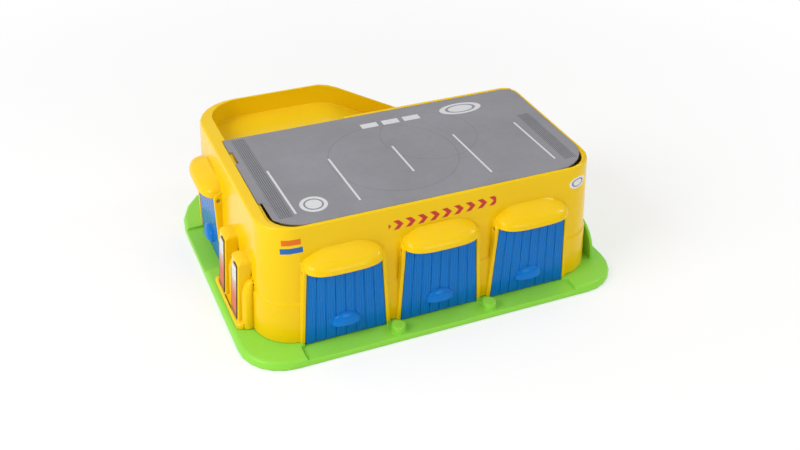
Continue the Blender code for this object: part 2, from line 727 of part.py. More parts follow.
def door_plank_ring(height):
    """Plan section of a door at a height: planks with a groove between each two."""
    half = half_door(height)
    face = -DOOR_PROUD
    pitch = 2 * half / PLANK_COUNT
    groove = GROOVE_WIDTH / 2
    points = [(-half, face)]
    for index in range(1, PLANK_COUNT):
        x = -half + index * pitch
        points += [(x - groove, face), (x - groove * 0.4, face + GROOVE_DEPTH)]
        points += [(x + groove * 0.4, face + GROOVE_DEPTH), (x + groove, face)]
    points += [(half, face), (half, face + DOOR_THICKNESS), (-half, face + DOOR_THICKNESS)]
    return level(points, height)


def make_door(name, frame, parts, cutters, material):
    """A door: a planked plate, a hinge barrel along its head and a finger cup."""
    axis = Matrix.Translation((0.0, -HINGE_OUT, HINGE_HEIGHT))
    to_axis = axis.inverted()

    def finish(part_name, bm, collection, mat=None):
        bm.transform(to_axis)
        item = place(part_name, bm, collection, mat)
        item.matrix_world = frame @ axis
        return item

    plate = loft([door_plank_ring(z) for z in (DOOR_FOOT, HINGE_HEIGHT)])
    door = finish("door_" + name, plate, parts, material)
    barrel = bmesh.new()
    half = half_door(HINGE_HEIGHT) - FIT
    rod(barrel, BARREL_RADIUS, (-half, -HINGE_OUT, HINGE_HEIGHT), (half, -HINGE_OUT, HINGE_HEIGHT))
    boolean(door, as_cutter(finish("barrel_" + name, barrel, cutters)), 'UNION')
    middle = (0.0, -DOOR_PROUD, HANDLE_FLOOR)
    cup = dome(middle, (HANDLE_HALF_WIDTH, HANDLE_OUT, HANDLE_HEIGHT), segments=20, rings=11, power=2.2)
    cup_item = as_cutter(finish("cup_" + name, cup, cutters))
    inside = -DOOR_PROUD + DOOR_THICKNESS / 2
    room = box_solid((-HANDLE_HALF_WIDTH * 1.5, -DOOR_PROUD - HANDLE_OUT * 2, HANDLE_FLOOR),
                     (HANDLE_HALF_WIDTH * 1.5, inside, HANDLE_FLOOR + HANDLE_HEIGHT * 2))
    boolean(cup_item, as_cutter(finish("cup_room_" + name, room, cutters)), 'INTERSECT')
    inner = [radius - HANDLE_WALL for radius in (HANDLE_HALF_WIDTH, HANDLE_OUT, HANDLE_HEIGHT)]
    pocket = dome(middle, inner, segments=16, rings=9, power=2.2)
    boolean(cup_item, as_cutter(finish("cup_pocket_" + name, pocket, cutters)), 'DIFFERENCE')
    boolean(door, cup_item, 'UNION')
    bore = bmesh.new()
    reach = half + DOOR_SIDE_GAP * 2
    rod(bore, PIN_BORE, (-reach, -HINGE_OUT, HINGE_HEIGHT), (reach, -HINGE_OUT, HINGE_HEIGHT))
    boolean(door, as_cutter(finish("door_bore_" + name, bore, cutters)), 'DIFFERENCE')
    return door


def make_pin(name, frame, pin_side, parts, material):
    bm = bmesh.new()
    seen, blind = pin_span(pin_side)
    rod(bm, PIN_RADIUS, (seen, -HINGE_OUT, HINGE_HEIGHT), (blind, -HINGE_OUT, HINGE_HEIGHT), segments=20)
    bm.transform(frame)
    return place("hinge_pin_" + name, bm, parts, material)


def make_card(parts, cutters, material):
    """The grey parking card that lies on the ledge inside the rim, cut back twice at its left edge."""
    corners = (RECESS_CORNER_LEFT + CARD_CORNER_EXTRA, RECESS_CORNER_RIGHT + CARD_CORNER_EXTRA, 0.003, 0.003)
    bounds = (ROOF_LEFT, ROOF_RIGHT, ROOF_FRONT, ROOF_BACK - CARD_SIDE_GAP)
    card = place("parking_card", loft([level(plan(*bounds, corners), CARD_TOP - CARD_THICKNESS),
                                       level(plan(*bounds, corners), CARD_TOP)]), parts, material)
    slot_back = ROOF_BACK - CARD_SLOT_FROM_BACK
    spans = ((ROOF_FRONT - 0.01, ROOF_FRONT + CARD_FRONT_NOTCH), (slot_back - CARD_SLOT_LENGTH, slot_back))
    for index, (start, end) in enumerate(spans):
        solid = box_solid((ROOF_LEFT - 0.01, start, CARD_TOP - 0.01),
                          (ROOF_LEFT + CARD_NOTCH, end, CARD_TOP + 0.01))
        boolean(card, as_cutter(place("card_notch_%d" % (index + 1), solid, cutters)), 'DIFFERENCE')
    return card


def make_screws(parts, material):
    """The screws that hold the body on the base plate, driven from below."""
    seat = screw_seat() - FIT
    profile = [(SCREW_HEAD_RADIUS * 0.7, seat - SCREW_HEAD_HEIGHT)]
    profile += [(SCREW_HEAD_RADIUS, seat - SCREW_HEAD_HEIGHT * 0.6), (SCREW_HEAD_RADIUS, seat)]
    profile += [(SCREW_RADIUS, seat), (SCREW_RADIUS, screw_tip() - 0.003), (SCREW_RADIUS * 0.3, screw_tip())]
    rings = [level(arc(0.0, 0.0, radius, 0, 330, steps=11), z) for radius, z in profile]
    first = place("base_screw_1", loft(rings), parts, material)
    for index, (x, y) in enumerate(screw_places()):
        screw = first
        if index:
            screw = bpy.data.objects.new("base_screw_%d" % (index + 1), first.data)
            parts.objects.link(screw)
        screw.location = (x, y, 0.0)


def make_label(index, y, parts, material):
    """The printed panel on a pump's slanted face, one corner of its head cut off."""
    half = LABEL_WIDTH / 2
    outline = [(y - half, LABEL_FOOT), (y + half, LABEL_FOOT), (y + half, LABEL_TOP - LABEL_CUT_HEIGHT)]
    outline += [(y + half - LABEL_CUT_WIDTH, LABEL_TOP), (y - half, LABEL_TOP)]
    rings = []
    for offset in (FIT, FIT + LABEL_THICKNESS):
        rings.append([(LEFT - pump_face(z) - offset, py, z) for py, z in outline])
    return place("pump_panel_%d" % (index + 1), loft(rings), parts, material)


def main():
    clear_scene()
    parts = new_collection("toy_garage")
    cutters = new_collection("cutters")
    yellow = plastic("yellow plastic", YELLOW, 0.22)
    green = plastic("green plastic", GREEN, 0.30)
    blue = plastic("blue plastic", BLUE, 0.28)
    steel = plastic("steel", STEEL, 0.35, 1.0)
    card = plastic("grey card", CARD_GREY, 0.45)
    label = plastic("printed panel", LABEL_WHITE, 0.40)
    make_base(parts, cutters, green)
    make_body(parts, cutters, yellow)
    for name, frame, pin_side in bay_frames():
        make_door(name, frame, parts, cutters, blue)
        make_pin(name, frame, pin_side, parts, steel)
    make_card(parts, cutters, card)
    for index, y in enumerate(pump_places()):
        make_label(index, y, parts, label)
    make_screws(parts, steel)


main()
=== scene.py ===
"""Looks of the toy garage: yellow shell, green base plate, blue doors and grey parking card."""
import json
import math

import bmesh
import bpy
from mathutils import Matrix, Vector


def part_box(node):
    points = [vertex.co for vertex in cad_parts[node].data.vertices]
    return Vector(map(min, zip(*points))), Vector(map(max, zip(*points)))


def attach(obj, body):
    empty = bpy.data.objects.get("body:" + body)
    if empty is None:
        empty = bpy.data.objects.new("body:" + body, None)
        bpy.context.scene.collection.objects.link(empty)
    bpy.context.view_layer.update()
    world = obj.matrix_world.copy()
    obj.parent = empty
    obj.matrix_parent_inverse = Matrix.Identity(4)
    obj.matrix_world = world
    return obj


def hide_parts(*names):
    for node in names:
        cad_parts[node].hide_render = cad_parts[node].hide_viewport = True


bl_info = {
    "name": "Toy Garage",
    "version": (1, 0, 0),
    "blender": (4, 5, 0),
    "location": "View3D > Sidebar > Toy Garage",
    "description": "Gives the toy garage its moulded edges, printed card and plastics",
    "category": "Add Mesh",
}

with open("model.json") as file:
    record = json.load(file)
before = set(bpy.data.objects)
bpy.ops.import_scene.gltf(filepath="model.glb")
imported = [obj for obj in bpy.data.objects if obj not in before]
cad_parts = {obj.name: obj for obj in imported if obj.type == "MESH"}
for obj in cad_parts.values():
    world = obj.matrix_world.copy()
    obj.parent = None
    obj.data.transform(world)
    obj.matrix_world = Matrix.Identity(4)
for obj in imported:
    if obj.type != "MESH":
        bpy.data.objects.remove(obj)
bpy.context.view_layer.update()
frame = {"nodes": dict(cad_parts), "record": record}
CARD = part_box("parking_card")
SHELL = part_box("body_shell")

# The moulded shell: its front wall behind the hoods, its draft, moulded step, rim and lane
FRONT_FACE = SHELL[0].y + 0.0197
DRAFT = math.radians(3.0)
STEP_OUT = 0.0012
RIM_WIDTH = 0.0030
LANE_STEP = 0.0003

# What counts as touching and as upright, under what angle faces join, and when one is cut up
TOUCH = 0.0001
UPRIGHT = 0.95
FLAT_ANGLE = math.radians(0.4)
MOST_SIDES = 24

# The card's front left corner: its middle from both edges, and how far it is drawn in
CARD_FRONT_CORNER = 0.0330
CARD_DRAWN_IN = 0.0009

# The roof's back right corner: outer foot of its edge above the ramp, and how it is rounded
CORNER_X, CORNER_Y, CORNER_Z = 0.15841, 0.03702, 0.0485
CORNER_RADIUS = 0.0150
CORNER_CLEAR = 0.0600
CORNER_STEPS = 6
# Radii from it along x and y within which the walls are cut, and how near a point a cut snaps
CORNER_NEAR = (1.8, 1.4)
CUT_CLEAR = 0.000001

# The wall above the ramp: how squarely its faces look back, how deep they lie, most sides
LANE_WALL_FACING = 0.9
LANE_WALL_DEPTH = 0.0600
LANE_WALL_SIDES = 8

# Where a door's finger cup stands, and the oval round it without ribs
CUP_HEIGHT = 0.0245
CUP_PLAIN = (0.0140, 0.0085)

# The hoods as moulded in the solids: walls' feet, lip, sizes and powers of their curves
FRONT_FOOT = -0.1338
LEFT_FOOT = -0.1600
HOOD_LIP = 0.0808
HOOD_RISE = 0.0220
HOOD_HALF = 0.0346
HOOD_REACH = 0.0162
HOOD_PLAN_POWER = 3.2
HOOD_END_POWER = 4.0
HOOD_NOSE_POWER = 2.3

# How their tops slope back to the wall and fall in an arch towards both ends
SLOPE_RISE = 0.0172
ARCH_FALL = 0.28
ARCH_POWER = 2.6
# Share of the moulded height: height, reach and half width of the sloping form
HOOD_SLOPE = ((0.0, 0.0, 1.0, 1.0), (0.22, 0.20, 0.985, 0.998), (0.42, 0.385, 0.89, 0.985),
              (0.58, 0.525, 0.72, 0.955), (0.71, 0.64, 0.52, 0.91), (0.81, 0.73, 0.34, 0.865),
              (0.89, 0.80, 0.205, 0.82), (0.945, 0.86, 0.11, 0.785), (0.978, 0.91, 0.055, 0.76),
              (0.994, 0.955, 0.02, 0.74), (0.9993, 1.0, 0.0, 0.72), (1.0, 1.0, 0.0, 0.72))
# The hollow sinks from this height on, to this share of its own height
HOLLOW_FOOT = 0.0839
HOLLOW_SQUASH = 0.51
# The side hood is drawn in from this far out on, to this share of its own reach
DRAWN_FROM = 0.0040
SIDE_HOOD_REACH = 0.80

# Which points are a hood's: nearness to its plan's curve, and shares of its half width
OUTER_FACE = (0.95, 1.03)
WITHIN_HOOD = 0.98
BESIDE_HOOD = 1.005
AROUND_HOOD = 1.06
# Distances out from its wall's foot, and shares of its height at its lip and top
HOOD_OUT = (-0.008, 0.018)
LIP_SHARES = (-0.01, 0.04)
TOP_SHARE = 0.999
HOOD_MERGE = 0.00003
# Heights between which a hood's crease lies, and how deep it is from the shell's front or left
CREASE_HEIGHTS = (0.0813, 0.1060)
CREASE_DEPTH = 0.0225

FRONT_DOORS = ("door_front_1", "door_front_2", "door_front_3")
DOOR_BODIES = {"door_front_1": "left_door", "door_front_2": "middle_door",
               "door_front_3": "right_door", "door_side": "end_door"}


def length(name, description, default):
    return bpy.props.FloatProperty(name=name, description=description, default=default,
                                   min=0.0, unit='LENGTH', precision=5)


def colour(name, description, default):
    return bpy.props.FloatVectorProperty(name=name, description=description, default=default,
                                         min=0.0, max=1.0, size=3, subtype='COLOR')


class GarageSizes(bpy.types.PropertyGroup):
    shell_edge: length("Shell edge", "Radius on the yellow shell's moulded edges", 0.0008)
    base_edge: length("Base edge", "Radius on the green plate's moulded edges", 0.0008)
    door_edge: length("Door edge", "Radius on the blue doors' edges", 0.0003)
    card_edge: length("Card edge", "Radius on the parking card's cut edge", 0.0002)
    line_width: length("Bay line width", "Width of the white lines between the bays", 0.0019)
    grating_pitch: length("Grating pitch", "Distance between two printed grating lines", 0.0018)
    rib_pitch: length("Door rib pitch", "Distance between the fine ribs on a door", 0.0023)
    panel_edge: length("Panel edge", "Radius on a pump panel's cut edge", 0.00015)
    edge_merge: length("Merge distance", "Distance under which doubled points are joined", 0.00002)


class GarageColours(bpy.types.PropertyGroup):
    yellow: colour("Yellow", "Shell plastic", (0.87, 0.56, 0.001))
    green: colour("Green", "Base plate plastic", (0.27, 0.70, 0.05))
    blue: colour("Blue", "Door plastic", (0.001, 0.180, 0.61))
    steel: colour("Steel", "Pins and screws", (0.42, 0.41, 0.40))
    card: colour("Card", "Parking card's grey", (0.20, 0.20, 0.222))
    card_line: colour("Card line", "White of the bay lines", (0.66, 0.66, 0.68))
    card_dark: colour("Card dark", "Dark ink of the gratings", (0.055, 0.055, 0.062))
    panel_white: colour("Panel white", "Head of a pump's printed panel", (0.74, 0.77, 0.72))
    panel_red: colour("Panel red", "Lower part of a pump's printed panel", (0.66, 0.085, 0.006))
    panel_dark: colour("Panel dark", "Outline and foot of a pump's panel", (0.06, 0.035, 0.03))
    floor: colour("Floor", "Studio floor", (0.97, 0.97, 0.97))


def sizes():
    return bpy.context.scene.garage_sizes


def colours():
    return bpy.context.scene.garage_colours


# Mesh pieces

def only(piece):
    """Select one object alone and make it active."""
    bpy.ops.object.select_all(action='DESELECT')
    piece.select_set(True)
    bpy.context.view_layer.objects.active = piece


def weigh_edges(piece, corner, keep_soft):
    """Mark the edges to round by weight: every sharp one but those that should stay a soft flow."""
    weights = piece.data.attributes.new("bevel_weight_edge", 'FLOAT', 'EDGE')
    work = bmesh.new()
    work.from_mesh(piece.data)
    for edge in work.edges:
        sharp = (len(edge.link_faces) == 2
                 and abs(edge.calc_face_angle_signed()) > math.radians(corner))
        soft = sharp and keep_soft is not None and keep_soft(edge)
        weights.data[edge.index].value = 1.0 if sharp and not soft else 0.0
    work.free()


def keep_in_box(piece, node):
    """The smoothed copy stays within its node's own corners."""
    low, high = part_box(node)
    for point in piece.data.vertices:
        point.co = [min(max(value, least), most)
                    for value, least, most in zip(point.co, low, high)]


def rounded_copy(node, radius, corner=30.0, segments=3, keep_soft=None, mend=(), carve=()):
    """A merged copy of a CAD node with rounded moulded edges, shown in the node's place.

    What mends the mesh runs before its points are merged and what carves it runs after.
    """
    piece = bpy.data.objects.new(node + "_skin", frame["nodes"][node].data.copy())
    bpy.context.scene.collection.objects.link(piece)
    for change in mend:
        change(piece.data)
    only(piece)
    bpy.ops.object.mode_set(mode='EDIT')
    bpy.ops.mesh.select_all(action='SELECT')
    bpy.ops.mesh.customdata_custom_splitnormals_clear()
    bpy.ops.mesh.remove_doubles(threshold=sizes().edge_merge)
    bpy.ops.mesh.dissolve_limited(angle_limit=FLAT_ANGLE)
    bpy.ops.object.mode_set(mode='OBJECT')
    for change in carve:
        change(piece.data)
    bpy.ops.object.mode_set(mode='EDIT')
    bpy.ops.mesh.select_all(action='DESELECT')
    bpy.ops.mesh.select_face_by_sides(number=MOST_SIDES, type='GREATER')
    bpy.ops.mesh.quads_convert_to_tris(ngon_method='BEAUTY')
    bpy.ops.object.mode_set(mode='OBJECT')
    bpy.ops.object.shade_smooth()
    weigh_edges(piece, corner, keep_soft)
    bevel = piece.modifiers.new("moulded edges", 'BEVEL')
    bevel.width = radius
    bevel.segments = segments
    bevel.limit_method = 'WEIGHT'
    bevel.use_clamp_overlap = False
    bevel.miter_outer = 'MITER_ARC'
    even = piece.modifiers.new("even shading", 'WEIGHTED_NORMAL')
    even.keep_sharp = True
    bpy.ops.object.modifier_apply(modifier=bevel.name)
    keep_in_box(piece, node)
    bpy.ops.object.modifier_apply(modifier=even.name)
    return piece


def level_lane_wall(mesh):
    """Bring the inner face of the back wall on one plane along the turn and the ramp."""
    for point in mesh.vertices:
        wall = SHELL[1].y - STEP_OUT - wall_lean(point.co.z) - RIM_WIDTH
        if abs(point.co.y - wall - LANE_STEP) < LANE_STEP * 0.1:
            point.co.y = wall


def wall_lean(height):
    """How far the drafted wall stands back at a height."""
    return (height - SHELL[0].z) * math.tan(DRAFT)


def rounded_share(share, power):
    """What is left of a superellipse's half width at a share of its half height."""
    return max(1.0 - min(abs(share), 1.0) ** power, 0.0) ** (1.0 / power)


def slope_shares(share):
    """A sloping hood's height, reach and half width at a share of the moulded height."""
    for low, high in zip(HOOD_SLOPE, HOOD_SLOPE[1:]):
        if share <= high[0]:
            part = (share - low[0]) / (high[0] - low[0])
            return [a + (b - a) * part for a, b in zip(low[1:], high[1:])]
    return HOOD_SLOPE[-1][1:]


def arched(rise, across):
    """Height of a sloping hood: its top falls away in an arch towards both ends."""
    fall = ARCH_FALL * rise * min(abs(across), 1.0) ** ARCH_POWER
    return HOOD_LIP + SLOPE_RISE * rise * (1.0 - fall)


def slope_point(across, out, height):
    """Move one point of a moulded hood to its sloping form; out is measured from the wall's foot.

    Points of the hollow sink under the slope, and those of the door's frame keep beside the hood.
    """
    share = (height - HOOD_LIP) / HOOD_RISE
    rise, reach, narrow = slope_shares(share)
    lean = wall_lean(height)
    if abs(across) > HOOD_HALF * BESIDE_HOOD:
        lowered = arched(rise, 1.0)
        return across, out + lean - wall_lean(lowered), lowered
    lip_lean = wall_lean(HOOD_LIP)
    half = HOOD_HALF * rounded_share(share, HOOD_END_POWER)
    nose = (HOOD_REACH + lip_lean) * rounded_share(share, HOOD_NOSE_POWER) - lip_lean
    wide = abs(across) / half
    deep = max(out + lip_lean, 0.0) / (nose + lip_lean)
    size = (wide ** HOOD_PLAN_POWER + deep ** HOOD_PLAN_POWER) ** (1.0 / HOOD_PLAN_POWER)
    if out >= -lean - TOUCH and OUTER_FACE[0] < size < OUTER_FACE[1]:
        lowered = arched(rise, across / half)
        wall = -wall_lean(lowered)
        forward = (out + lean) / (nose + lean)
        return (across / half * HOOD_HALF * narrow, wall + forward * (HOOD_REACH - wall) * reach,
                lowered)
    if height > HOLLOW_FOOT:
        lowered = HOLLOW_FOOT + (height - HOLLOW_FOOT) * HOLLOW_SQUASH
        return across, out + lean - wall_lean(lowered), lowered
    return across, out, height


def is_front(joint):
    """A front door's hinge lies along the front."""
    return abs(joint["axis"][0]) > 0.5


def hood_frames():
    """Where each hood stands: the way across it, the way out and the middle of its wall's foot."""
    frames = []
    for joint in frame["record"]["behaviour"]["joints"]:
        x, y = joint["pos_m"][:2]
        if is_front(joint):
            frames.append((Vector((1.0, 0.0)), Vector((0.0, -1.0)), Vector((x, FRONT_FOOT))))
        else:
            frames.append((Vector((0.0, -1.0)), Vector((-1.0, 0.0)), Vector((LEFT_FOOT, y))))
    return frames


def hood_place(point, hood):
    """A point seen from a hood: across it, out from its wall's foot and its share of the height."""
    along, outwards, foot = hood
    flat = point.co.xy - foot
    return flat.dot(along), flat.dot(outwards), (point.co.z - HOOD_LIP) / HOOD_RISE


def put_point(point, hood, across, out, height):
    """Put a point at a place that is given as seen from a hood."""
    along, outwards, foot = hood
    point.co = (*(foot + along * across + outwards * out), height)


def ends_top(edge, hood):
    """Whether an edge is the back of a hood's moulded top, where it meets the wall."""
    for point in edge.verts:
        across, out, share = hood_place(point, hood)
        lean = wall_lean(HOOD_LIP + HOOD_RISE * share)
        if abs(across) >= HOOD_HALF or not TOP_SHARE < share < 1.0 or abs(out + lean) >= TOUCH:
            return False
    return True


def draw_in(points, hood):
    """Make a hood reach less far out."""
    for point in points:
        across, out = hood_place(point, hood)[:2]
        if abs(across) < HOOD_HALF * WITHIN_HOOD and out > DRAWN_FROM:
            drawn = DRAWN_FROM + (out - DRAWN_FROM) * SIDE_HOOD_REACH
            put_point(point, hood, across, drawn, point.co.z)


def slope_hoods(mesh):
    """Give the four hoods their sloping tops that run out in the wall."""
    work = bmesh.new()
    work.from_mesh(mesh)
    for hood in hood_frames():
        backs = [edge for edge in work.edges if ends_top(edge, hood)]
        bmesh.ops.dissolve_edges(work, edges=backs, use_verts=False)
        moved = []
        for point in work.verts:
            across, out, share = hood_place(point, hood)
            around = abs(across) < HOOD_HALF * AROUND_HOOD
            if around and HOOD_OUT[0] < out < HOOD_OUT[1] and LIP_SHARES[1] < share < 1.0:
                put_point(point, hood, *slope_point(across, out, point.co.z))
                moved.append(point)
            elif around and 0.0 < out < HOOD_OUT[1] and LIP_SHARES[0] < share < LIP_SHARES[1]:
                moved.append(point)
        if abs(hood[1].x) > 0.5:  # the side hood looks along x
            draw_in(moved, hood)
        bmesh.ops.remove_doubles(work, verts=moved, dist=HOOD_MERGE)
    work.to_mesh(mesh)
    work.free()


def corner_wall(height):
    """Where the right end wall stands at a height."""
    return CORNER_X - (height - CORNER_Z) * math.tan(DRAFT)


def near_corner(face):
    """Whether an upright face comes near the roof's back right corner."""
    along_x, along_y = CORNER_NEAR
    return abs(face.normal.z) < UPRIGHT and any(
        point.co.x > CORNER_X - along_x * CORNER_RADIUS and point.co.z > CORNER_Z - TOUCH
        and CORNER_Y - along_y * CORNER_RADIUS < point.co.y < CORNER_Y + TOUCH
        for point in face.verts)


def corner_cuts():
    """Upright cuts on both sides of the corner, even round its curve, and a level one below."""
    steps = [CORNER_RADIUS * math.tan(math.radians(45.0 * step / CORNER_STEPS))
             for step in range(CORNER_STEPS)]
    cuts = [((0.0, CORNER_Y - CORNER_RADIUS + step, 0.0), (0.0, 1.0, 0.0)) for step in steps]
    cuts += [((CORNER_X - CORNER_RADIUS + step, 0.0, CORNER_Z), (1.0, 0.0, math.tan(DRAFT)))
             for step in steps]
    return cuts + [((0.0, 0.0, CORNER_CLEAR), (0.0, 0.0, 1.0))]


def round_back_corner(mesh):
    """Round the roof's back right corner, its rim, ledge and card alike, above the ramp.

    The upright walls are cut into strips first. Then square rings round the corner's middle
    become circles, and the wall above the ramp is cut into triangles so that it shades evenly.
    """
    work = bmesh.new()
    work.from_mesh(mesh)
    for place, normal in corner_cuts():
        near = [face for face in work.faces if near_corner(face)]
        parts = dict.fromkeys(part for face in near for part in (face, *face.edges, *face.verts))
        bmesh.ops.bisect_plane(work, geom=list(parts), dist=CUT_CLEAR, plane_co=place,
                               plane_no=normal)
    for point in work.verts:
        x = point.co.x - corner_wall(point.co.z) + CORNER_RADIUS
        y = point.co.y - CORNER_Y + CORNER_RADIUS
        full = min(max((point.co.z - CORNER_Z) / (CORNER_CLEAR - CORNER_Z), 0.0), 1.0)
        if x > 0.0 and 0.0 < y < CORNER_RADIUS + TOUCH and full > 0.0:
            turn = max(x, y) / math.hypot(x, y) - 1.0
            point.co.x += x * turn * full
            point.co.y += y * turn * full
    walls = [face for face in work.faces
             if len(face.verts) > LANE_WALL_SIDES and face.normal.y > LANE_WALL_FACING
             and 0.0 < face.calc_center_median().y < LANE_WALL_DEPTH]
    bmesh.ops.triangulate(work, faces=walls, ngon_method='BEAUTY')
    work.to_mesh(mesh)
    work.free()


def trim_card(mesh):
    """Draw the card's front left corner in from the rim, most at the middle of its curve."""
    middle = Vector((CARD[0].x + CARD_FRONT_CORNER, CARD[0].y + CARD_FRONT_CORNER))
    for point in mesh.vertices:
        away = point.co.xy - middle
        if away.x < -TOUCH and away.y < -TOUCH and away.length > CARD_FRONT_CORNER / 2:
            draw = CARD_DRAWN_IN * 2.0 * abs(away.x * away.y) / away.length_squared
            inner = middle + away.normalized() * (away.length - draw)
            point.co = (*inner, point.co.z)


def hood_crease(edge):
    """The inner edge where a hood's back meets the wall; it flows softly into it."""
    middle = (edge.verts[0].co + edge.verts[1].co) / 2
    low, high = CREASE_HEIGHTS
    return (edge.calc_face_angle_signed() <= 0.0 and low < middle.z < high
            and (middle.y < SHELL[0].y + CREASE_DEPTH or middle.x < SHELL[0].x + CREASE_DEPTH))


def finish_piece(piece, node, body, material):
    """Put the finish on a copy and let it stand for its CAD node."""
    piece.data.materials.clear()
    piece.data.materials.append(material)
    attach(piece, body)
    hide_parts(node)


# Node groups for effects that several materials share

def new_group(name, inputs, outputs):
    """A node group with named inputs and outputs, and its two end nodes."""
    group = bpy.data.node_groups.new(name, 'ShaderNodeTree')
    for label, kind, value in inputs:
        socket = group.interface.new_socket(name=label, in_out='INPUT',
                                            socket_type='NodeSocket' + kind)
        if value is not None:
            socket.default_value = value
    for label, kind in outputs:
        group.interface.new_socket(name=label, in_out='OUTPUT',
                                   socket_type='NodeSocket' + kind)
    start = group.nodes.new('NodeGroupInput')
    end = group.nodes.new('NodeGroupOutput')
    return group, start, end


def put(tree, kind, inputs=None, **settings):
    """Add a node; inputs are values or sockets to link, keyed by name or index."""
    node = tree.nodes.new('ShaderNode' + kind)
    for key, value in settings.items():
        setattr(node, key, value)
    for key, value in (inputs or {}).items():
        if isinstance(value, bpy.types.NodeSocket):
            tree.links.new(value, node.inputs[key])
        else:
            node.inputs[key].default_value = value
    return node


def sums(tree, operation, first, second=0.0, third=0.0, clamp=False):
    node = put(tree, 'Math', {0: first, 1: second, 2: third}, operation=operation,
               use_clamp=clamp)
    return node.outputs[0]


def noise(tree, vector, scale, detail=3.0, roughness=0.5):
    node = put(tree, 'TexNoise', {'Vector': vector, 'Scale': scale, 'Detail': detail,
                                  'Roughness': roughness})
    return node.outputs['Fac']


def ramp(tree, value, low, high):
    """Map a range of values on 0 to 1, clamped."""
    node = put(tree, 'MapRange', {'Value': value, 'From Min': low, 'From Max': high})
    return node.outputs['Result']


def blend_colour(tree, factor, first, second):
    node = tree.nodes.new('ShaderNodeMix')
    node.data_type = 'RGBA'
    node.clamp_factor = True
    for place, value in ((0, factor), (6, first), (7, second)):
        socket = node.inputs[place]
        if isinstance(value, bpy.types.NodeSocket):
            tree.links.new(value, socket)
        elif socket.type == 'RGBA':
            socket.default_value = (*value[:3], 1.0)
        else:
            socket.default_value = value
    return node.outputs[2]


def ink_on(tree, mask, strength, tone, ink):
    """Lay an ink over a tone where its mask is."""
    return blend_colour(tree, sums(tree, 'MULTIPLY', mask, strength), tone, ink)


def moulded_grain_group():
    """Fine skin and slow waviness of injection-moulded plastic, with a slightly uneven gloss."""
    group, start, end = new_group(
        "Moulded grain",
        [("Vector", 'Vector', None), ("Grain Scale", 'Float', 900.0), ("Wave Scale", 'Float', 24.0),
         ("Wave Share", 'Float', 0.5), ("Roughness", 'Float', 0.25), ("Unevenness", 'Float', 0.08)],
        [("Height", 'Float'), ("Roughness", 'Float')])
    vector = start.outputs["Vector"]
    grain = noise(group, vector, start.outputs["Grain Scale"], detail=2.0)
    wave = noise(group, vector, start.outputs["Wave Scale"], detail=1.0)
    waved = sums(group, 'MULTIPLY', wave, start.outputs["Wave Share"])
    height = sums(group, 'ADD', grain, waved)
    patch = noise(group, vector, scale=60.0, detail=4.0, roughness=0.6)
    drift = sums(group, 'MULTIPLY', sums(group, 'SUBTRACT', patch, 0.5),
                 start.outputs["Unevenness"])
    rough = sums(group, 'ADD', start.outputs["Roughness"], drift, clamp=True)
    group.links.new(height, end.inputs["Height"])
    group.links.new(rough, end.inputs["Roughness"])
    return group


def tint_drift_group():
    """Slow lighter and darker patches, as pigment flows in a mould."""
    group, start, end = new_group(
        "Tint drift",
        [("Vector", 'Vector', None), ("Color", 'Color', (1, 1, 1, 1)),
         ("Light", 'Color', (1, 1, 1, 1)), ("Scale", 'Float', 14.0), ("Amount", 'Float', 0.2)],
        [("Color", 'Color')])
    patch = noise(group, start.outputs["Vector"], start.outputs["Scale"], detail=4.0,
                  roughness=0.55)
    flow = ramp(group, patch, low=0.35, high=0.72)
    factor = sums(group, 'MULTIPLY', flow, start.outputs["Amount"])
    mixed = blend_colour(group, factor, start.outputs["Color"], start.outputs["Light"])
    group.links.new(mixed, end.inputs["Color"])
    return group


def dust_group():
    """Where dust settles: faces that look up, broken into soft clumps."""
    group, start, end = new_group(
        "Dust", [("Vector", 'Vector', None), ("Amount", 'Float', 0.05)], [("Mask", 'Float')])
    normal = put(group, 'NewGeometry').outputs['Normal']
    upward = put(group, 'SeparateXYZ', {0: normal}).outputs['Z']
    flat = ramp(group, upward, low=0.3, high=0.95)
    patch = noise(group, start.outputs["Vector"], scale=170.0, detail=5.0, roughness=0.7)
    clumps = ramp(group, patch, low=0.35, high=0.75)
    mask = sums(group, 'MULTIPLY', sums(group, 'MULTIPLY', flat, clumps), start.outputs["Amount"])
    group.links.new(mask, end.inputs["Mask"])
    return group


# The two directions of the scratches: how each is turned and how tightly it is drawn together
SCRATCHES = (((0.3, 0.2, 0.5), (420.0, 16.0, 60.0)), ((0.9, 0.4, -0.8), (30.0, 380.0, 24.0)))


def scuff_group():
    """Thin scratches in two directions that dull a glossy skin."""
    group, start, end = new_group(
        "Scuffs", [("Vector", 'Vector', None), ("Density", 'Float', 0.5)], [("Mask", 'Float')])
    masks = []
    for turn, stretch in SCRATCHES:
        turned = put(group, 'Mapping', {'Vector': start.outputs["Vector"], 'Rotation': turn,
                                        'Scale': stretch}).outputs[0]
        masks.append(ramp(group, noise(group, turned, scale=1.0, detail=2.0), low=0.69, high=0.78))
    both = sums(group, 'MAXIMUM', masks[0], masks[1])
    group.links.new(sums(group, 'MULTIPLY', both, start.outputs["Density"]), end.inputs["Mask"])
    return group


# How sharp the edges of printed lines and discs are
LINE_SHARPNESS = 12.0
DISC_SHARPNESS = 40.0


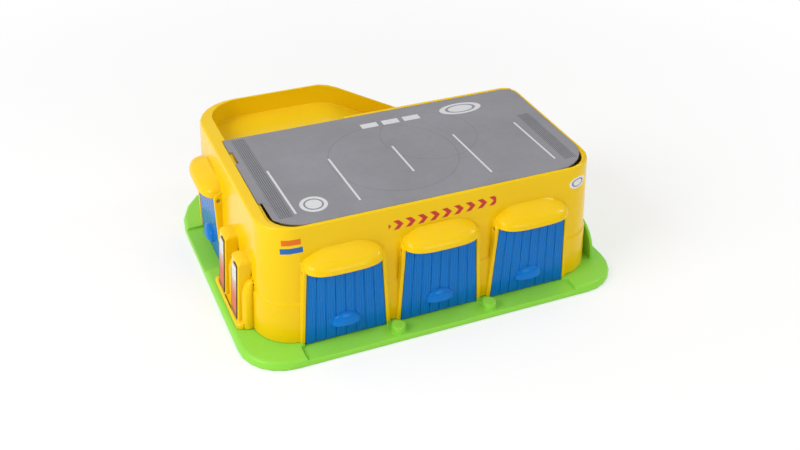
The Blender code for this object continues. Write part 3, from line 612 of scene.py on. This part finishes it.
def print_box_group():
    """A printed rectangle with soft edges: 1 inside and 0 outside."""
    group, start, end = new_group(
        "Print box",
        [("Vector", 'Vector', None), ("Centre", 'Vector', None), ("Turn", 'Float', 0.0),
         ("Half Width", 'Float', 0.001), ("Half Height", 'Float', 0.01),
         ("Softness", 'Float', 0.0001)],
        [("Mask", 'Float'), ("Across", 'Float'), ("Along", 'Float')])
    moved = put(group, 'VectorMath', {0: start.outputs["Vector"], 1: start.outputs["Centre"]},
                operation='SUBTRACT').outputs[0]
    turned = put(group, 'VectorRotate', {'Vector': moved, 'Angle': start.outputs["Turn"]},
                 rotation_type='Z_AXIS').outputs[0]
    split = put(group, 'SeparateXYZ', {0: turned})
    inside = []
    for axis, half in (('X', "Half Width"), ('Y', "Half Height")):
        beyond = sums(group, 'SUBTRACT', sums(group, 'ABSOLUTE', split.outputs[axis]),
                      start.outputs[half])
        share_out = sums(group, 'DIVIDE', beyond, start.outputs["Softness"])
        inside.append(sums(group, 'SUBTRACT', 0.5, share_out, clamp=True))
    group.links.new(sums(group, 'MULTIPLY', inside[0], inside[1]), end.inputs["Mask"])
    group.links.new(split.outputs['X'], end.inputs["Across"])
    group.links.new(split.outputs['Y'], end.inputs["Along"])
    return group


def print_lines_group():
    """Evenly spaced printed lines along one number."""
    group, start, end = new_group(
        "Print lines",
        [("Across", 'Float', 0.0), ("Pitch", 'Float', 0.0015), ("Share", 'Float', 0.4)],
        [("Mask", 'Float')])
    turns = sums(group, 'DIVIDE', start.outputs["Across"], start.outputs["Pitch"])
    place = sums(group, 'ABSOLUTE', sums(group, 'SUBTRACT', sums(group, 'FRACT', turns), 0.5))
    edge = sums(group, 'MULTIPLY', start.outputs["Share"], 0.5)
    gap = sums(group, 'MULTIPLY', sums(group, 'SUBTRACT', edge, place), LINE_SHARPNESS)
    group.links.new(sums(group, 'ADD', gap, 0.5, clamp=True), end.inputs["Mask"])
    return group


GROUPS = {}


def group_node(tree, name, **inputs):
    """Place a shared group; it is built the first time it is asked for."""
    makers = {"Moulded grain": moulded_grain_group, "Tint drift": tint_drift_group,
              "Dust": dust_group, "Scuffs": scuff_group, "Print box": print_box_group,
              "Print lines": print_lines_group}
    if name not in GROUPS:
        GROUPS[name] = makers[name]()
    node = tree.nodes.new('ShaderNodeGroup')
    node.node_tree = GROUPS[name]
    for key, value in inputs.items():
        socket = node.inputs[key.replace("_", " ")]
        if isinstance(value, bpy.types.NodeSocket):
            tree.links.new(value, socket)
        else:
            socket.default_value = value
    return node


def print_box(tree, vector, centre, halves, **more):
    return group_node(tree, "Print box", Vector=vector, Centre=(*centre, 0.0),
                      Half_Width=halves[0], Half_Height=halves[1], **more)


def print_lines(tree, across, pitch, share):
    return group_node(tree, "Print lines", Across=across, Pitch=pitch, Share=share).outputs["Mask"]


# Materials

# Tones beside the adjustable colours: dust, paler pigments, shade painted in the grooves, spots on
# steel
DUST_TONE = (0.62, 0.60, 0.56)
YELLOW_LIGHT = (0.93, 0.66, 0.015)
GREEN_LIGHT = (0.28, 0.70, 0.08)
BLUE_LIGHT = (0.008, 0.22, 0.64)
GROOVE_PAINTED_SHADE = (0.0, 0.06, 0.24)
STEEL_SPOTS = (0.20, 0.18, 0.16)

# What all the moulded plastics share
PIGMENT_DRIFT = 0.25
PLASTIC_GRAIN = 900.0
SKIN_DEPTH = 0.00003
SCUFF_DENSITY = 0.3
SCUFF_DULLING = 0.18
PLASTIC_IOR = 1.5

# The grooves between a door's ribs: share of the pitch, depth in skin depths and strength of the
# shade painted in them
GROOVE_SHARE = 0.34
GROOVE_DEPTH = 7.0
GROOVE_DARKNESS = 0.22


def base_material(name):
    """A new material with its tree, its shader and the place on the object."""
    material = bpy.data.materials.new(name)
    material.use_nodes = True
    tree = material.node_tree
    shader = tree.nodes["Principled BSDF"]
    where = put(tree, 'TexCoord').outputs['Object']
    return material, tree, shader, where


def bump(tree, shader, height, distance):
    """Let a height show on a shader; distance is the depth of its full range."""
    node = put(tree, 'Bump', {'Height': height, 'Distance': distance})
    tree.links.new(node.outputs['Normal'], shader.inputs['Normal'])


def dusted(tree, where, amount, tone):
    settled = group_node(tree, "Dust", Vector=where, Amount=amount)
    return blend_colour(tree, settled.outputs["Mask"], tone, DUST_TONE)


def moulded_plastic(name, tone, light, roughness, wave, dust=0.04, gloss=0.25, extra_height=None,
                    prints_and_painted_shade=None):
    """Glossy toy plastic: pigment drift, skin grain, scuffs and a little dust on what looks up."""
    material, tree, shader, where = base_material(name)
    tint = group_node(tree, "Tint drift", Vector=where, Color=(*tone, 1), Light=(*light, 1),
                      Amount=PIGMENT_DRIFT)
    shown = dusted(tree, where, dust, tint.outputs["Color"])
    # prints on the front wall, and shade painted into the door grooves, laid over the colour
    if prints_and_painted_shade:
        shown = prints_and_painted_shade(tree, where, shown)
    skin = group_node(tree, "Moulded grain", Vector=where, Grain_Scale=PLASTIC_GRAIN,
                      Wave_Share=wave, Roughness=roughness)
    scratched = group_node(tree, "Scuffs", Vector=where, Density=SCUFF_DENSITY)
    dulled = sums(tree, 'ADD', skin.outputs["Roughness"],
                  sums(tree, 'MULTIPLY', scratched.outputs["Mask"], SCUFF_DULLING), clamp=True)
    height = skin.outputs["Height"]
    if extra_height:
        height = sums(tree, 'ADD', height, extra_height(tree, where))
    tree.links.new(shown, shader.inputs['Base Color'])
    tree.links.new(dulled, shader.inputs['Roughness'])
    bump(tree, shader, height, SKIN_DEPTH)
    shader.inputs['IOR'].default_value = PLASTIC_IOR
    shader.inputs['Specular IOR Level'].default_value = gloss
    return material


def rib_mask(tree, where, axis):
    """Where the fine upright grooves between a door's ribs lie; the finger cups stay plain."""
    across = put(tree, 'SeparateXYZ', {0: where}).outputs[axis]
    mask = print_lines(tree, across, sizes().rib_pitch, GROOVE_SHARE)
    for joint in frame["record"]["behaviour"]["joints"]:
        if is_front(joint) == (axis == 'X'):
            middle = joint["pos_m"]['XY'.index(axis)]
            cup = flat_disc(tree, where, (middle, CUP_HEIGHT), CUP_PLAIN, (axis, 'Z'))[0]
            mask = sums(tree, 'SUBTRACT', mask, cup, clamp=True)
    return mask


def door_ribs(axis):
    """Fine upright ribs moulded in a door."""
    def height(tree, where):
        return sums(tree, 'MULTIPLY', rib_mask(tree, where, axis), -GROOVE_DEPTH)
    return height


def door_groove_painted_shade(axis):
    """A little shade is painted into the grooves between the ribs."""
    def tone(tree, where, shown):
        return ink_on(tree, rib_mask(tree, where, axis), GROOVE_DARKNESS, shown, GROOVE_PAINTED_SHADE)
    return tone


def brushed_steel(name):
    """Bright steel with fine turned lines and dull spots."""
    material, tree, shader, where = base_material(name)
    lines = put(tree, 'Mapping', {'Vector': where, 'Scale': (4000.0, 400.0, 400.0)}).outputs[0]
    turned = noise(tree, lines, scale=1.0, detail=3.0)
    patch = noise(tree, where, scale=900.0, detail=4.0, roughness=0.6)
    spots = ramp(tree, patch, low=0.45, high=0.8)
    shade = ink_on(tree, spots, 0.5, colours().steel, STEEL_SPOTS)
    tree.links.new(shade, shader.inputs['Base Color'])
    tree.links.new(sums(tree, 'MULTIPLY_ADD', turned, 0.25, 0.25), shader.inputs['Roughness'])
    shader.inputs['Metallic'].default_value = 1.0
    bump(tree, shader, turned, distance=0.00001)
    return material


def flat_disc(tree, where, centre, radii, axes=('X', 'Y')):
    """1 inside a printed disc or oval, 0 outside, and its distance as a share of its radius."""
    split = put(tree, 'SeparateXYZ', {0: where})
    squares = []
    for axis, middle, radius in zip(axes, centre, radii):
        offset = sums(tree, 'DIVIDE', sums(tree, 'SUBTRACT', split.outputs[axis], middle), radius)
        squares.append(sums(tree, 'MULTIPLY', offset, offset))
    reach = sums(tree, 'SQRT', sums(tree, 'ADD', squares[0], squares[1]))
    edge = sums(tree, 'MULTIPLY', sums(tree, 'SUBTRACT', 1.0, reach), DISC_SHARPNESS)
    return sums(tree, 'ADD', edge, 0.5, clamp=True), reach


# The prints on the front wall, by x and z: how they are turned, and half the depth they lie in
WALL_PRINT_TURN = -0.03
WALL_PRINT_DEPTH = 0.0110
CHEVRONS = (0.0027, 0.1035)
CHEVRON_HALVES = (0.0500, 0.0044)
CHEVRON_PITCH = 0.0111
CHEVRON_SHARE = 0.46
CHEVRON_RED = (0.55, 0.045, 0.03)
# Two bars one above the other: height, half width and ink
BARS_X = -0.1308
BARS = ((0.1068, 0.0078, (0.75, 0.16, 0.01)), (0.0990, 0.0092, (0.02, 0.14, 0.42)))
BAR_HALF_HEIGHT = 0.0026
# A pale oval with a ring: middle, radii and inks, and the ring's place and half width in it
OVAL = (0.1345, 0.1032)
OVAL_RADII = (0.0094, 0.0056)
OVAL_PALE = (0.80, 0.76, 0.72)
OVAL_BLUE = (0.10, 0.16, 0.36)
OVAL_RING = (0.62, 0.08)


def front_wall_print(tree, where, tone):
    """Plain motifs on the front wall: chevrons, two short bars and a pale oval with a ring."""
    split = put(tree, 'SeparateXYZ', {0: where})
    flat = put(tree, 'CombineXYZ',
               {0: split.outputs['X'], 1: split.outputs['Z'], 2: 0.0}).outputs[0]
    front = sums(tree, 'COMPARE', split.outputs['Y'], FRONT_FACE + WALL_PRINT_DEPTH,
                 WALL_PRINT_DEPTH)
    band = print_box(tree, flat, CHEVRONS, CHEVRON_HALVES, Turn=WALL_PRINT_TURN)
    slant = sums(tree, 'ADD', band.outputs["Across"],
                 sums(tree, 'ABSOLUTE', band.outputs["Along"]))
    rows = print_lines(tree, slant, CHEVRON_PITCH, CHEVRON_SHARE)
    red = sums(tree, 'MULTIPLY', band.outputs["Mask"], rows)
    tone = ink_on(tree, red, front, tone, CHEVRON_RED)
    for height, width, ink in BARS:
        bar = print_box(tree, flat, (BARS_X, height), (width, BAR_HALF_HEIGHT),
                        Turn=WALL_PRINT_TURN, Softness=0.0003)
        tone = ink_on(tree, bar.outputs["Mask"], front, tone, ink)
    inside, reach = flat_disc(tree, where, OVAL, OVAL_RADII, ('X', 'Z'))
    tone = ink_on(tree, inside, front, tone, OVAL_PALE)
    return ink_on(tree, sums(tree, 'COMPARE', reach, *OVAL_RING), front, tone, OVAL_BLUE)


# Bay lines on the card: middle x, middle y, half length and turn in radians
BAY_LINES = ((-0.1205, -0.0700, 0.0370, 0.028), (-0.0644, -0.0700, 0.0370, 0.024),
             (-0.0039, -0.0564, 0.0240, 0.017), (0.0573, -0.0700, 0.0370, 0.034),
             (0.1205, -0.0700, 0.0370, 0.024))
# A row of dashes near the card's back edge: middle x of each, their y and half sizes
DASHES = (-0.0090, 0.0122, 0.0334)
DASH_Y = 0.0118
DASH_HALVES = (0.0082, 0.0042)
# Gratings at both ends: middle x, middle y, half length and turn in radians
GRATINGS = ((-0.1296, -0.0400, 0.0700, -0.014), (CARD[1].x - 0.0165, -0.0660, 0.0450, 0.0))
GRATING_HALF = 0.0062
GRATING_SHARE = 0.46
# A disc and an oval with a ring: middle and radii, and the ring's place and half width in them
DISCS = (((-0.1015, -0.0985), (0.0118, 0.0118)), ((0.0850, 0.0120), (0.0215, 0.0105)))
DISC_RING = (0.66, 0.07)
# Faint tyre arcs: middle and radius, and the arc's place and half width in it
TYRE_ARCS = (((0.0350, -0.0250), 0.046), ((-0.0100, -0.0500), 0.060))
TYRE_RING = (0.97, 0.012)
CARD_SPECK = (0.40, 0.40, 0.43)
CLOUD_BRIGHTNESS = 1.22


def join(tree, mask, other):
    """One print added to those before it."""
    return other if mask is None else sums(tree, 'MAXIMUM', mask, other)


def printed_card(name):
    """Satin grey card with bay lines, dashes, two ringed discs, gratings and faint tyre arcs."""
    material, tree, shader, where = base_material(name)
    ink = colours()
    speck = noise(tree, where, scale=1400.0, detail=3.0, roughness=0.6)
    cloud = noise(tree, where, scale=22.0, detail=4.0, roughness=0.55)
    tone = blend_colour(tree, ramp(tree, cloud, low=0.3, high=0.75), ink.card,
                        [value * CLOUD_BRIGHTNESS for value in ink.card])
    tone = ink_on(tree, speck, 0.16, tone, CARD_SPECK)
    dark = None
    for x, y, half_long, turn in GRATINGS:
        field = print_box(tree, where, (x, y), (GRATING_HALF, half_long), Turn=turn)
        rows = print_lines(tree, field.outputs["Across"], sizes().grating_pitch, GRATING_SHARE)
        dark = join(tree, dark, sums(tree, 'MULTIPLY', field.outputs["Mask"], rows))
    tone = ink_on(tree, dark, 0.85, tone, ink.card_dark)
    white = None
    for x, y, half_long, turn in BAY_LINES:
        line = print_box(tree, where, (x, y), (sizes().line_width / 2, half_long), Turn=-turn)
        white = join(tree, white, line.outputs["Mask"])
    for x in DASHES:
        white = join(tree, white,
                     print_box(tree, where, (x, DASH_Y), DASH_HALVES).outputs["Mask"])
    for centre, radii in DISCS:
        disc, reach = flat_disc(tree, where, centre, radii)
        ring = sums(tree, 'COMPARE', reach, *DISC_RING)
        white = join(tree, white, sums(tree, 'SUBTRACT', disc, ring, clamp=True))
    for centre, radius in TYRE_ARCS:
        reach = flat_disc(tree, where, centre, (radius, radius))[1]
        tone = ink_on(tree, sums(tree, 'COMPARE', reach, *TYRE_RING), 0.16, tone, ink.card_dark)
    patch = noise(tree, where, scale=500.0, detail=5.0, roughness=0.7)
    worn = ramp(tree, patch, low=0.30, high=0.46)
    tone = ink_on(tree, white, sums(tree, 'MULTIPLY_ADD', worn, 0.25, 0.75), tone, ink.card_line)
    tree.links.new(dusted(tree, where, 0.05, tone), shader.inputs['Base Color'])
    skin = group_node(tree, "Moulded grain", Vector=where, Grain_Scale=1500.0, Wave_Scale=12.0,
                      Wave_Share=2.0, Roughness=0.40, Unevenness=0.15)
    tree.links.new(skin.outputs["Roughness"], shader.inputs['Roughness'])
    bump(tree, shader, skin.outputs["Height"], distance=0.00003)
    return material


# A pump's panel: its fade above the two adjustable inks, as places and tones
PANEL_FADE = ((0.36, (0.60, 0.085, 0.02)), (0.50, (0.62, 0.22, 0.13)),
              (0.64, (0.56, 0.41, 0.36)), (0.80, (0.47, 0.45, 0.43)))
# Its display and bars: y and share down from the top, half width and half height's share
DISPLAY_Y = -0.0006
DISPLAY_DOWN = 0.19
DISPLAY_HALVES = (0.0056, 0.125)
BARS_HALVES = (0.0034, 0.085)
BARS_PITCH = 0.0042
BARS_INK = (0.12, 0.12, 0.13)
# Its print inside the dark outline: offset along y and z, half width and edge at the ends
PRINT_OFFSET = (-0.0005, 0.0006)
PRINT_HALF = 0.0073
PRINT_EDGE = 0.0008
PANEL_SPECK = (0.55, 0.40, 0.30)


def printed_panel(name, middle):
    """A pump's panel: pale display at its head, fade from pink to red and brown, dark outline."""
    material, tree, shader, where = base_material(name)
    ink = colours()
    low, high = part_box("pump_panel_1")
    split = put(tree, 'SeparateXYZ', {0: where})
    rise = ramp(tree, split.outputs['Z'], low.z, high.z)
    fade = put(tree, 'ValToRGB', {'Fac': rise})
    stops = ((0.0, ink.panel_dark), (0.06, [value * 0.35 for value in ink.panel_red]),
             (0.13, ink.panel_red), *PANEL_FADE)
    elements = fade.color_ramp.elements
    while len(elements) < len(stops):
        elements.new(0.5)
    for element, (place, tone) in zip(elements, stops):
        element.position = place
        element.color = (*tone, 1.0)
    flat = put(tree, 'CombineXYZ', {0: sums(tree, 'SUBTRACT', split.outputs['Y'], middle),
                                    1: split.outputs['Z'], 2: 0.0}).outputs[0]
    height = high.z - low.z
    head = (DISPLAY_Y, high.z - height * DISPLAY_DOWN)
    display = print_box(tree, flat, head, (DISPLAY_HALVES[0], height * DISPLAY_HALVES[1]),
                        Softness=0.0004)
    tone = blend_colour(tree, display.outputs["Mask"], fade.outputs['Color'], ink.panel_white)
    rows = print_lines(tree, split.outputs['Z'], BARS_PITCH, 0.30)
    field = print_box(tree, flat, head, (BARS_HALVES[0], height * BARS_HALVES[1]),
                      Softness=0.0004)
    tone = ink_on(tree, sums(tree, 'MULTIPLY', rows, field.outputs["Mask"]), 0.6, tone, BARS_INK)
    inner = print_box(tree, flat, (PRINT_OFFSET[0], (low.z + high.z) / 2 - PRINT_OFFSET[1]),
                      (PRINT_HALF, height / 2 - PRINT_EDGE), Softness=0.0003)
    tone = blend_colour(tree, inner.outputs["Mask"], ink.panel_dark, tone)
    speck = noise(tree, where, scale=1200.0, detail=3.0)
    tone = ink_on(tree, speck, 0.05, tone, PANEL_SPECK)
    tree.links.new(tone, shader.inputs['Base Color'])
    skin = group_node(tree, "Moulded grain", Vector=where, Grain_Scale=1200.0, Roughness=0.30)
    tree.links.new(skin.outputs["Roughness"], shader.inputs['Roughness'])
    shader.inputs['Specular IOR Level'].default_value = 0.15
    bump(tree, shader, skin.outputs["Height"], distance=0.00002)
    return material


# Operators: one for the stage and one for each piece or group of like pieces

# The floor: just under the plate, its size, and from where to where it turns plain white
FLOOR_DROP = 0.00002
FLOOR_SIZE = 14.0
FLOOR_GLOW = (0.27, 0.80)
FLOOR_GLOW_SHARE = (0.52, 0.48)
# The room's light: where it rises behind and above, and its powers at its base, behind and above
ROOM_BEHIND = (-0.5, 0.6)
ROOM_ABOVE = (0.35, 0.95)
ROOM_POWER = (0.28, 0.32, 0.22)
# Soft square lamps: place, size and power in watts; all are aimed at the object's middle
LAMPS = {"key_lamp": ((-1.20, -0.30, 0.95), 0.8, 13.0),
         "front_lamp": ((0.3, -1.5, 0.9), 0.9, 5.6),
         "right_lamp": ((1.15, -0.25, 0.95), 0.3, 3.2)}
LAMP_AIM = (0.0, 0.0, 0.06)

# The camera at the photograph's angle: yaw, pitch and roll, place and focal length in pixels
CAMERA_TURN = (0.405522844, 0.586910918, 0.0120851433)
CAMERA_PLACE = (-0.31727381, -0.78184068, 0.57400215)
FOCAL_PIXELS = 1027.82723
PICTURE_WIDTH = 800.0
SENSOR_WIDTH = 36.0


class GARAGE_OT_stage(bpy.types.Operator):
    """White studio floor, soft lamps and the camera at the photograph's angle"""
    bl_idname = "garage.stage"
    bl_label = "Stage"

    def execute(self, context):
        scene = context.scene
        scene.view_settings.view_transform = 'Standard'
        bpy.ops.object.select_all(action='DESELECT')
        bpy.ops.mesh.primitive_plane_add(size=FLOOR_SIZE, location=(0.0, 0.0, -FLOOR_DROP))
        floor = context.object
        floor.name = "studio_floor"
        floor.data.materials.append(self.floor_material())
        self.world(scene)
        for name, (place, size, power) in LAMPS.items():
            self.lamp(name, place, size, power)
        self.camera(scene)
        return {'FINISHED'}

    def floor_material(self):
        """Pale floor that holds the object's shadow and turns plain white round it."""
        material, tree, shader, where = base_material("studio floor")
        shader.inputs['Base Color'].default_value = (*colours().floor, 1.0)
        shader.inputs['Roughness'].default_value = 0.9
        shader.inputs['Specular IOR Level'].default_value = 0.0
        glow = put(tree, 'Emission', {'Color': (1.0, 1.0, 1.0, 1.0), 'Strength': 1.0})
        seen = put(tree, 'LightPath')
        paths = sums(tree, 'MAXIMUM', seen.outputs['Is Camera Ray'],
                     sums(tree, 'MAXIMUM', seen.outputs['Is Glossy Ray'],
                          seen.outputs['Is Transmission Ray']))
        reach = put(tree, 'VectorMath', {0: where}, operation='LENGTH')
        white = sums(tree, 'MULTIPLY_ADD', ramp(tree, reach.outputs['Value'], *FLOOR_GLOW),
                     *FLOOR_GLOW_SHARE)
        mixed = put(tree, 'MixShader', {0: sums(tree, 'MULTIPLY', paths, white),
                                        1: shader.outputs[0], 2: glow.outputs[0]})
        tree.links.new(mixed.outputs[0], tree.nodes["Material Output"].inputs['Surface'])
        return material

    def world(self, scene):
        """Soft room light, brighter above and behind the object than on the camera's side."""
        world = bpy.data.worlds.new("studio")
        scene.world = world
        world.use_nodes = True
        tree = world.node_tree
        tree.nodes.clear()
        split = put(tree, 'SeparateXYZ', {0: put(tree, 'TexCoord').outputs['Generated']})
        behind = ramp(tree, split.outputs['Y'], *ROOM_BEHIND)
        above = ramp(tree, split.outputs['Z'], *ROOM_ABOVE)
        base, more_behind, more_above = ROOM_POWER
        power = sums(tree, 'MULTIPLY_ADD', behind, more_behind, base)
        power = sums(tree, 'MULTIPLY_ADD', above, more_above, power)
        room = put(tree, 'Background', {'Color': (1.0, 1.0, 1.0, 1.0), 'Strength': power})
        end = put(tree, 'OutputWorld', {'Surface': room.outputs[0]})
        end.is_active_output = True

    def lamp(self, name, place, size, power):
        bpy.ops.object.light_add(type='AREA', location=place)
        lamp = bpy.context.object
        lamp.name = name
        lamp.data.size = size
        lamp.data.energy = power
        aim = Vector(LAMP_AIM) - Vector(place)
        lamp.rotation_euler = aim.to_track_quat('-Z', 'Y').to_euler()

    def camera(self, scene):
        yaw, pitch, roll = CAMERA_TURN
        right = Vector((math.cos(yaw), -math.sin(yaw), 0.0))
        ahead = Vector((math.sin(yaw) * math.cos(pitch), math.cos(yaw) * math.cos(pitch),
                        -math.sin(pitch)))
        up = right.cross(ahead)
        across = right * math.cos(roll) + up * math.sin(roll)
        upright = up * math.cos(roll) - right * math.sin(roll)
        bpy.ops.object.camera_add()
        camera = bpy.context.object
        camera.name = "photo_camera"
        turn = Matrix((across, upright, -ahead)).transposed().to_4x4()
        camera.matrix_world = Matrix.Translation(CAMERA_PLACE) @ turn
        camera.data.lens = SENSOR_WIDTH * FOCAL_PIXELS / PICTURE_WIDTH
        camera.data.clip_start = 0.01
        scene.camera = camera


class GARAGE_OT_shell(bpy.types.Operator):
    """The yellow moulded shell with rounded edges"""
    bl_idname = "garage.shell"
    bl_label = "Shell"

    def execute(self, context):
        material = moulded_plastic("yellow moulded plastic", tuple(colours().yellow),
                                   YELLOW_LIGHT, roughness=0.18, wave=3.0, gloss=0.18,
                                   prints_and_painted_shade=front_wall_print)
        piece = rounded_copy("body_shell", sizes().shell_edge, keep_soft=hood_crease,
                             mend=[level_lane_wall], carve=[slope_hoods, round_back_corner])
        finish_piece(piece, "body_shell", "garage", material)
        return {'FINISHED'}


class GARAGE_OT_base(bpy.types.Operator):
    """The green base plate with its guard wall and knobs"""
    bl_idname = "garage.base"
    bl_label = "Base plate"

    def execute(self, context):
        material = moulded_plastic("green moulded plastic", tuple(colours().green), GREEN_LIGHT,
                                   roughness=0.30, wave=2.0, dust=0.06)
        piece = rounded_copy("base_plate", sizes().base_edge)
        finish_piece(piece, "base_plate", "garage", material)
        return {'FINISHED'}


class GARAGE_OT_doors(bpy.types.Operator):
    """The four blue ribbed doors"""
    bl_idname = "garage.doors"
    bl_label = "Doors"

    def execute(self, context):
        for names, axis in ((FRONT_DOORS, 'X'), (("door_side",), 'Y')):
            # the doors' colour carries shade painted into the grooves between the ribs
            material = moulded_plastic("blue moulded plastic " + axis.lower(),
                                       tuple(colours().blue), BLUE_LIGHT, roughness=0.14,
                                       wave=1.0, gloss=0.16, extra_height=door_ribs(axis),
                                       prints_and_painted_shade=door_groove_painted_shade(axis))
            for name in names:
                piece = rounded_copy(name, sizes().door_edge, corner=24.0, segments=2)
                finish_piece(piece, name, DOOR_BODIES[name], material)
        return {'FINISHED'}


class GARAGE_OT_card(bpy.types.Operator):
    """The printed grey parking card on the roof"""
    bl_idname = "garage.card"
    bl_label = "Parking card"

    def execute(self, context):
        piece = rounded_copy("parking_card", sizes().card_edge, segments=2,
                             carve=[trim_card, round_back_corner])
        finish_piece(piece, "parking_card", "garage",
                     printed_card("printed grey card"))
        return {'FINISHED'}


class GARAGE_OT_panels(bpy.types.Operator):
    """The printed panels on the two pumps"""
    bl_idname = "garage.panels"
    bl_label = "Pump panels"

    def execute(self, context):
        for name in ("pump_panel_1", "pump_panel_2"):
            low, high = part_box(name)
            piece = rounded_copy(name, sizes().panel_edge, segments=1)
            finish_piece(piece, name, "garage",
                         printed_panel("printed panel " + name[-1], (low.y + high.y) / 2))
        return {'FINISHED'}


class GARAGE_OT_steel(bpy.types.Operator):
    """Steel finish on the hinge pins and screws"""
    bl_idname = "garage.steel"
    bl_label = "Pins and screws"

    def execute(self, context):
        material = brushed_steel("bright steel")
        for name, node in frame["nodes"].items():
            if name.startswith(("hinge_pin", "base_screw")):
                node.data.materials.clear()
                node.data.materials.append(material)
        return {'FINISHED'}


class GARAGE_PT_panel(bpy.types.Panel):
    bl_idname = "GARAGE_PT_panel"
    bl_label = "Toy Garage"
    bl_space_type = 'VIEW_3D'
    bl_region_type = 'UI'
    bl_category = "Toy Garage"

    def draw(self, context):
        for group in (context.scene.garage_sizes, context.scene.garage_colours):
            box = self.layout.box()
            for name in group.bl_rna.properties.keys():
                if name not in ("rna_type", "name"):
                    box.prop(group, name)
        for operator in OPERATORS:
            self.layout.operator(operator.bl_idname)


OPERATORS = (GARAGE_OT_stage, GARAGE_OT_shell, GARAGE_OT_base, GARAGE_OT_doors, GARAGE_OT_card,
             GARAGE_OT_panels, GARAGE_OT_steel)
CLASSES = (GarageSizes, GarageColours, *OPERATORS, GARAGE_PT_panel)


def register():
    for item in CLASSES:
        bpy.utils.register_class(item)
    bpy.types.Scene.garage_sizes = bpy.props.PointerProperty(type=GarageSizes)
    bpy.types.Scene.garage_colours = bpy.props.PointerProperty(type=GarageColours)


def unregister():
    del bpy.types.Scene.garage_colours
    del bpy.types.Scene.garage_sizes
    for item in reversed(CLASSES):
        bpy.utils.unregister_class(item)


def main():
    register()
    bpy.ops.garage.stage()
    bpy.ops.garage.shell()
    bpy.ops.garage.base()
    bpy.ops.garage.doors()
    bpy.ops.garage.card()
    bpy.ops.garage.panels()
    bpy.ops.garage.steel()


if __name__ == "__main__":
    main()
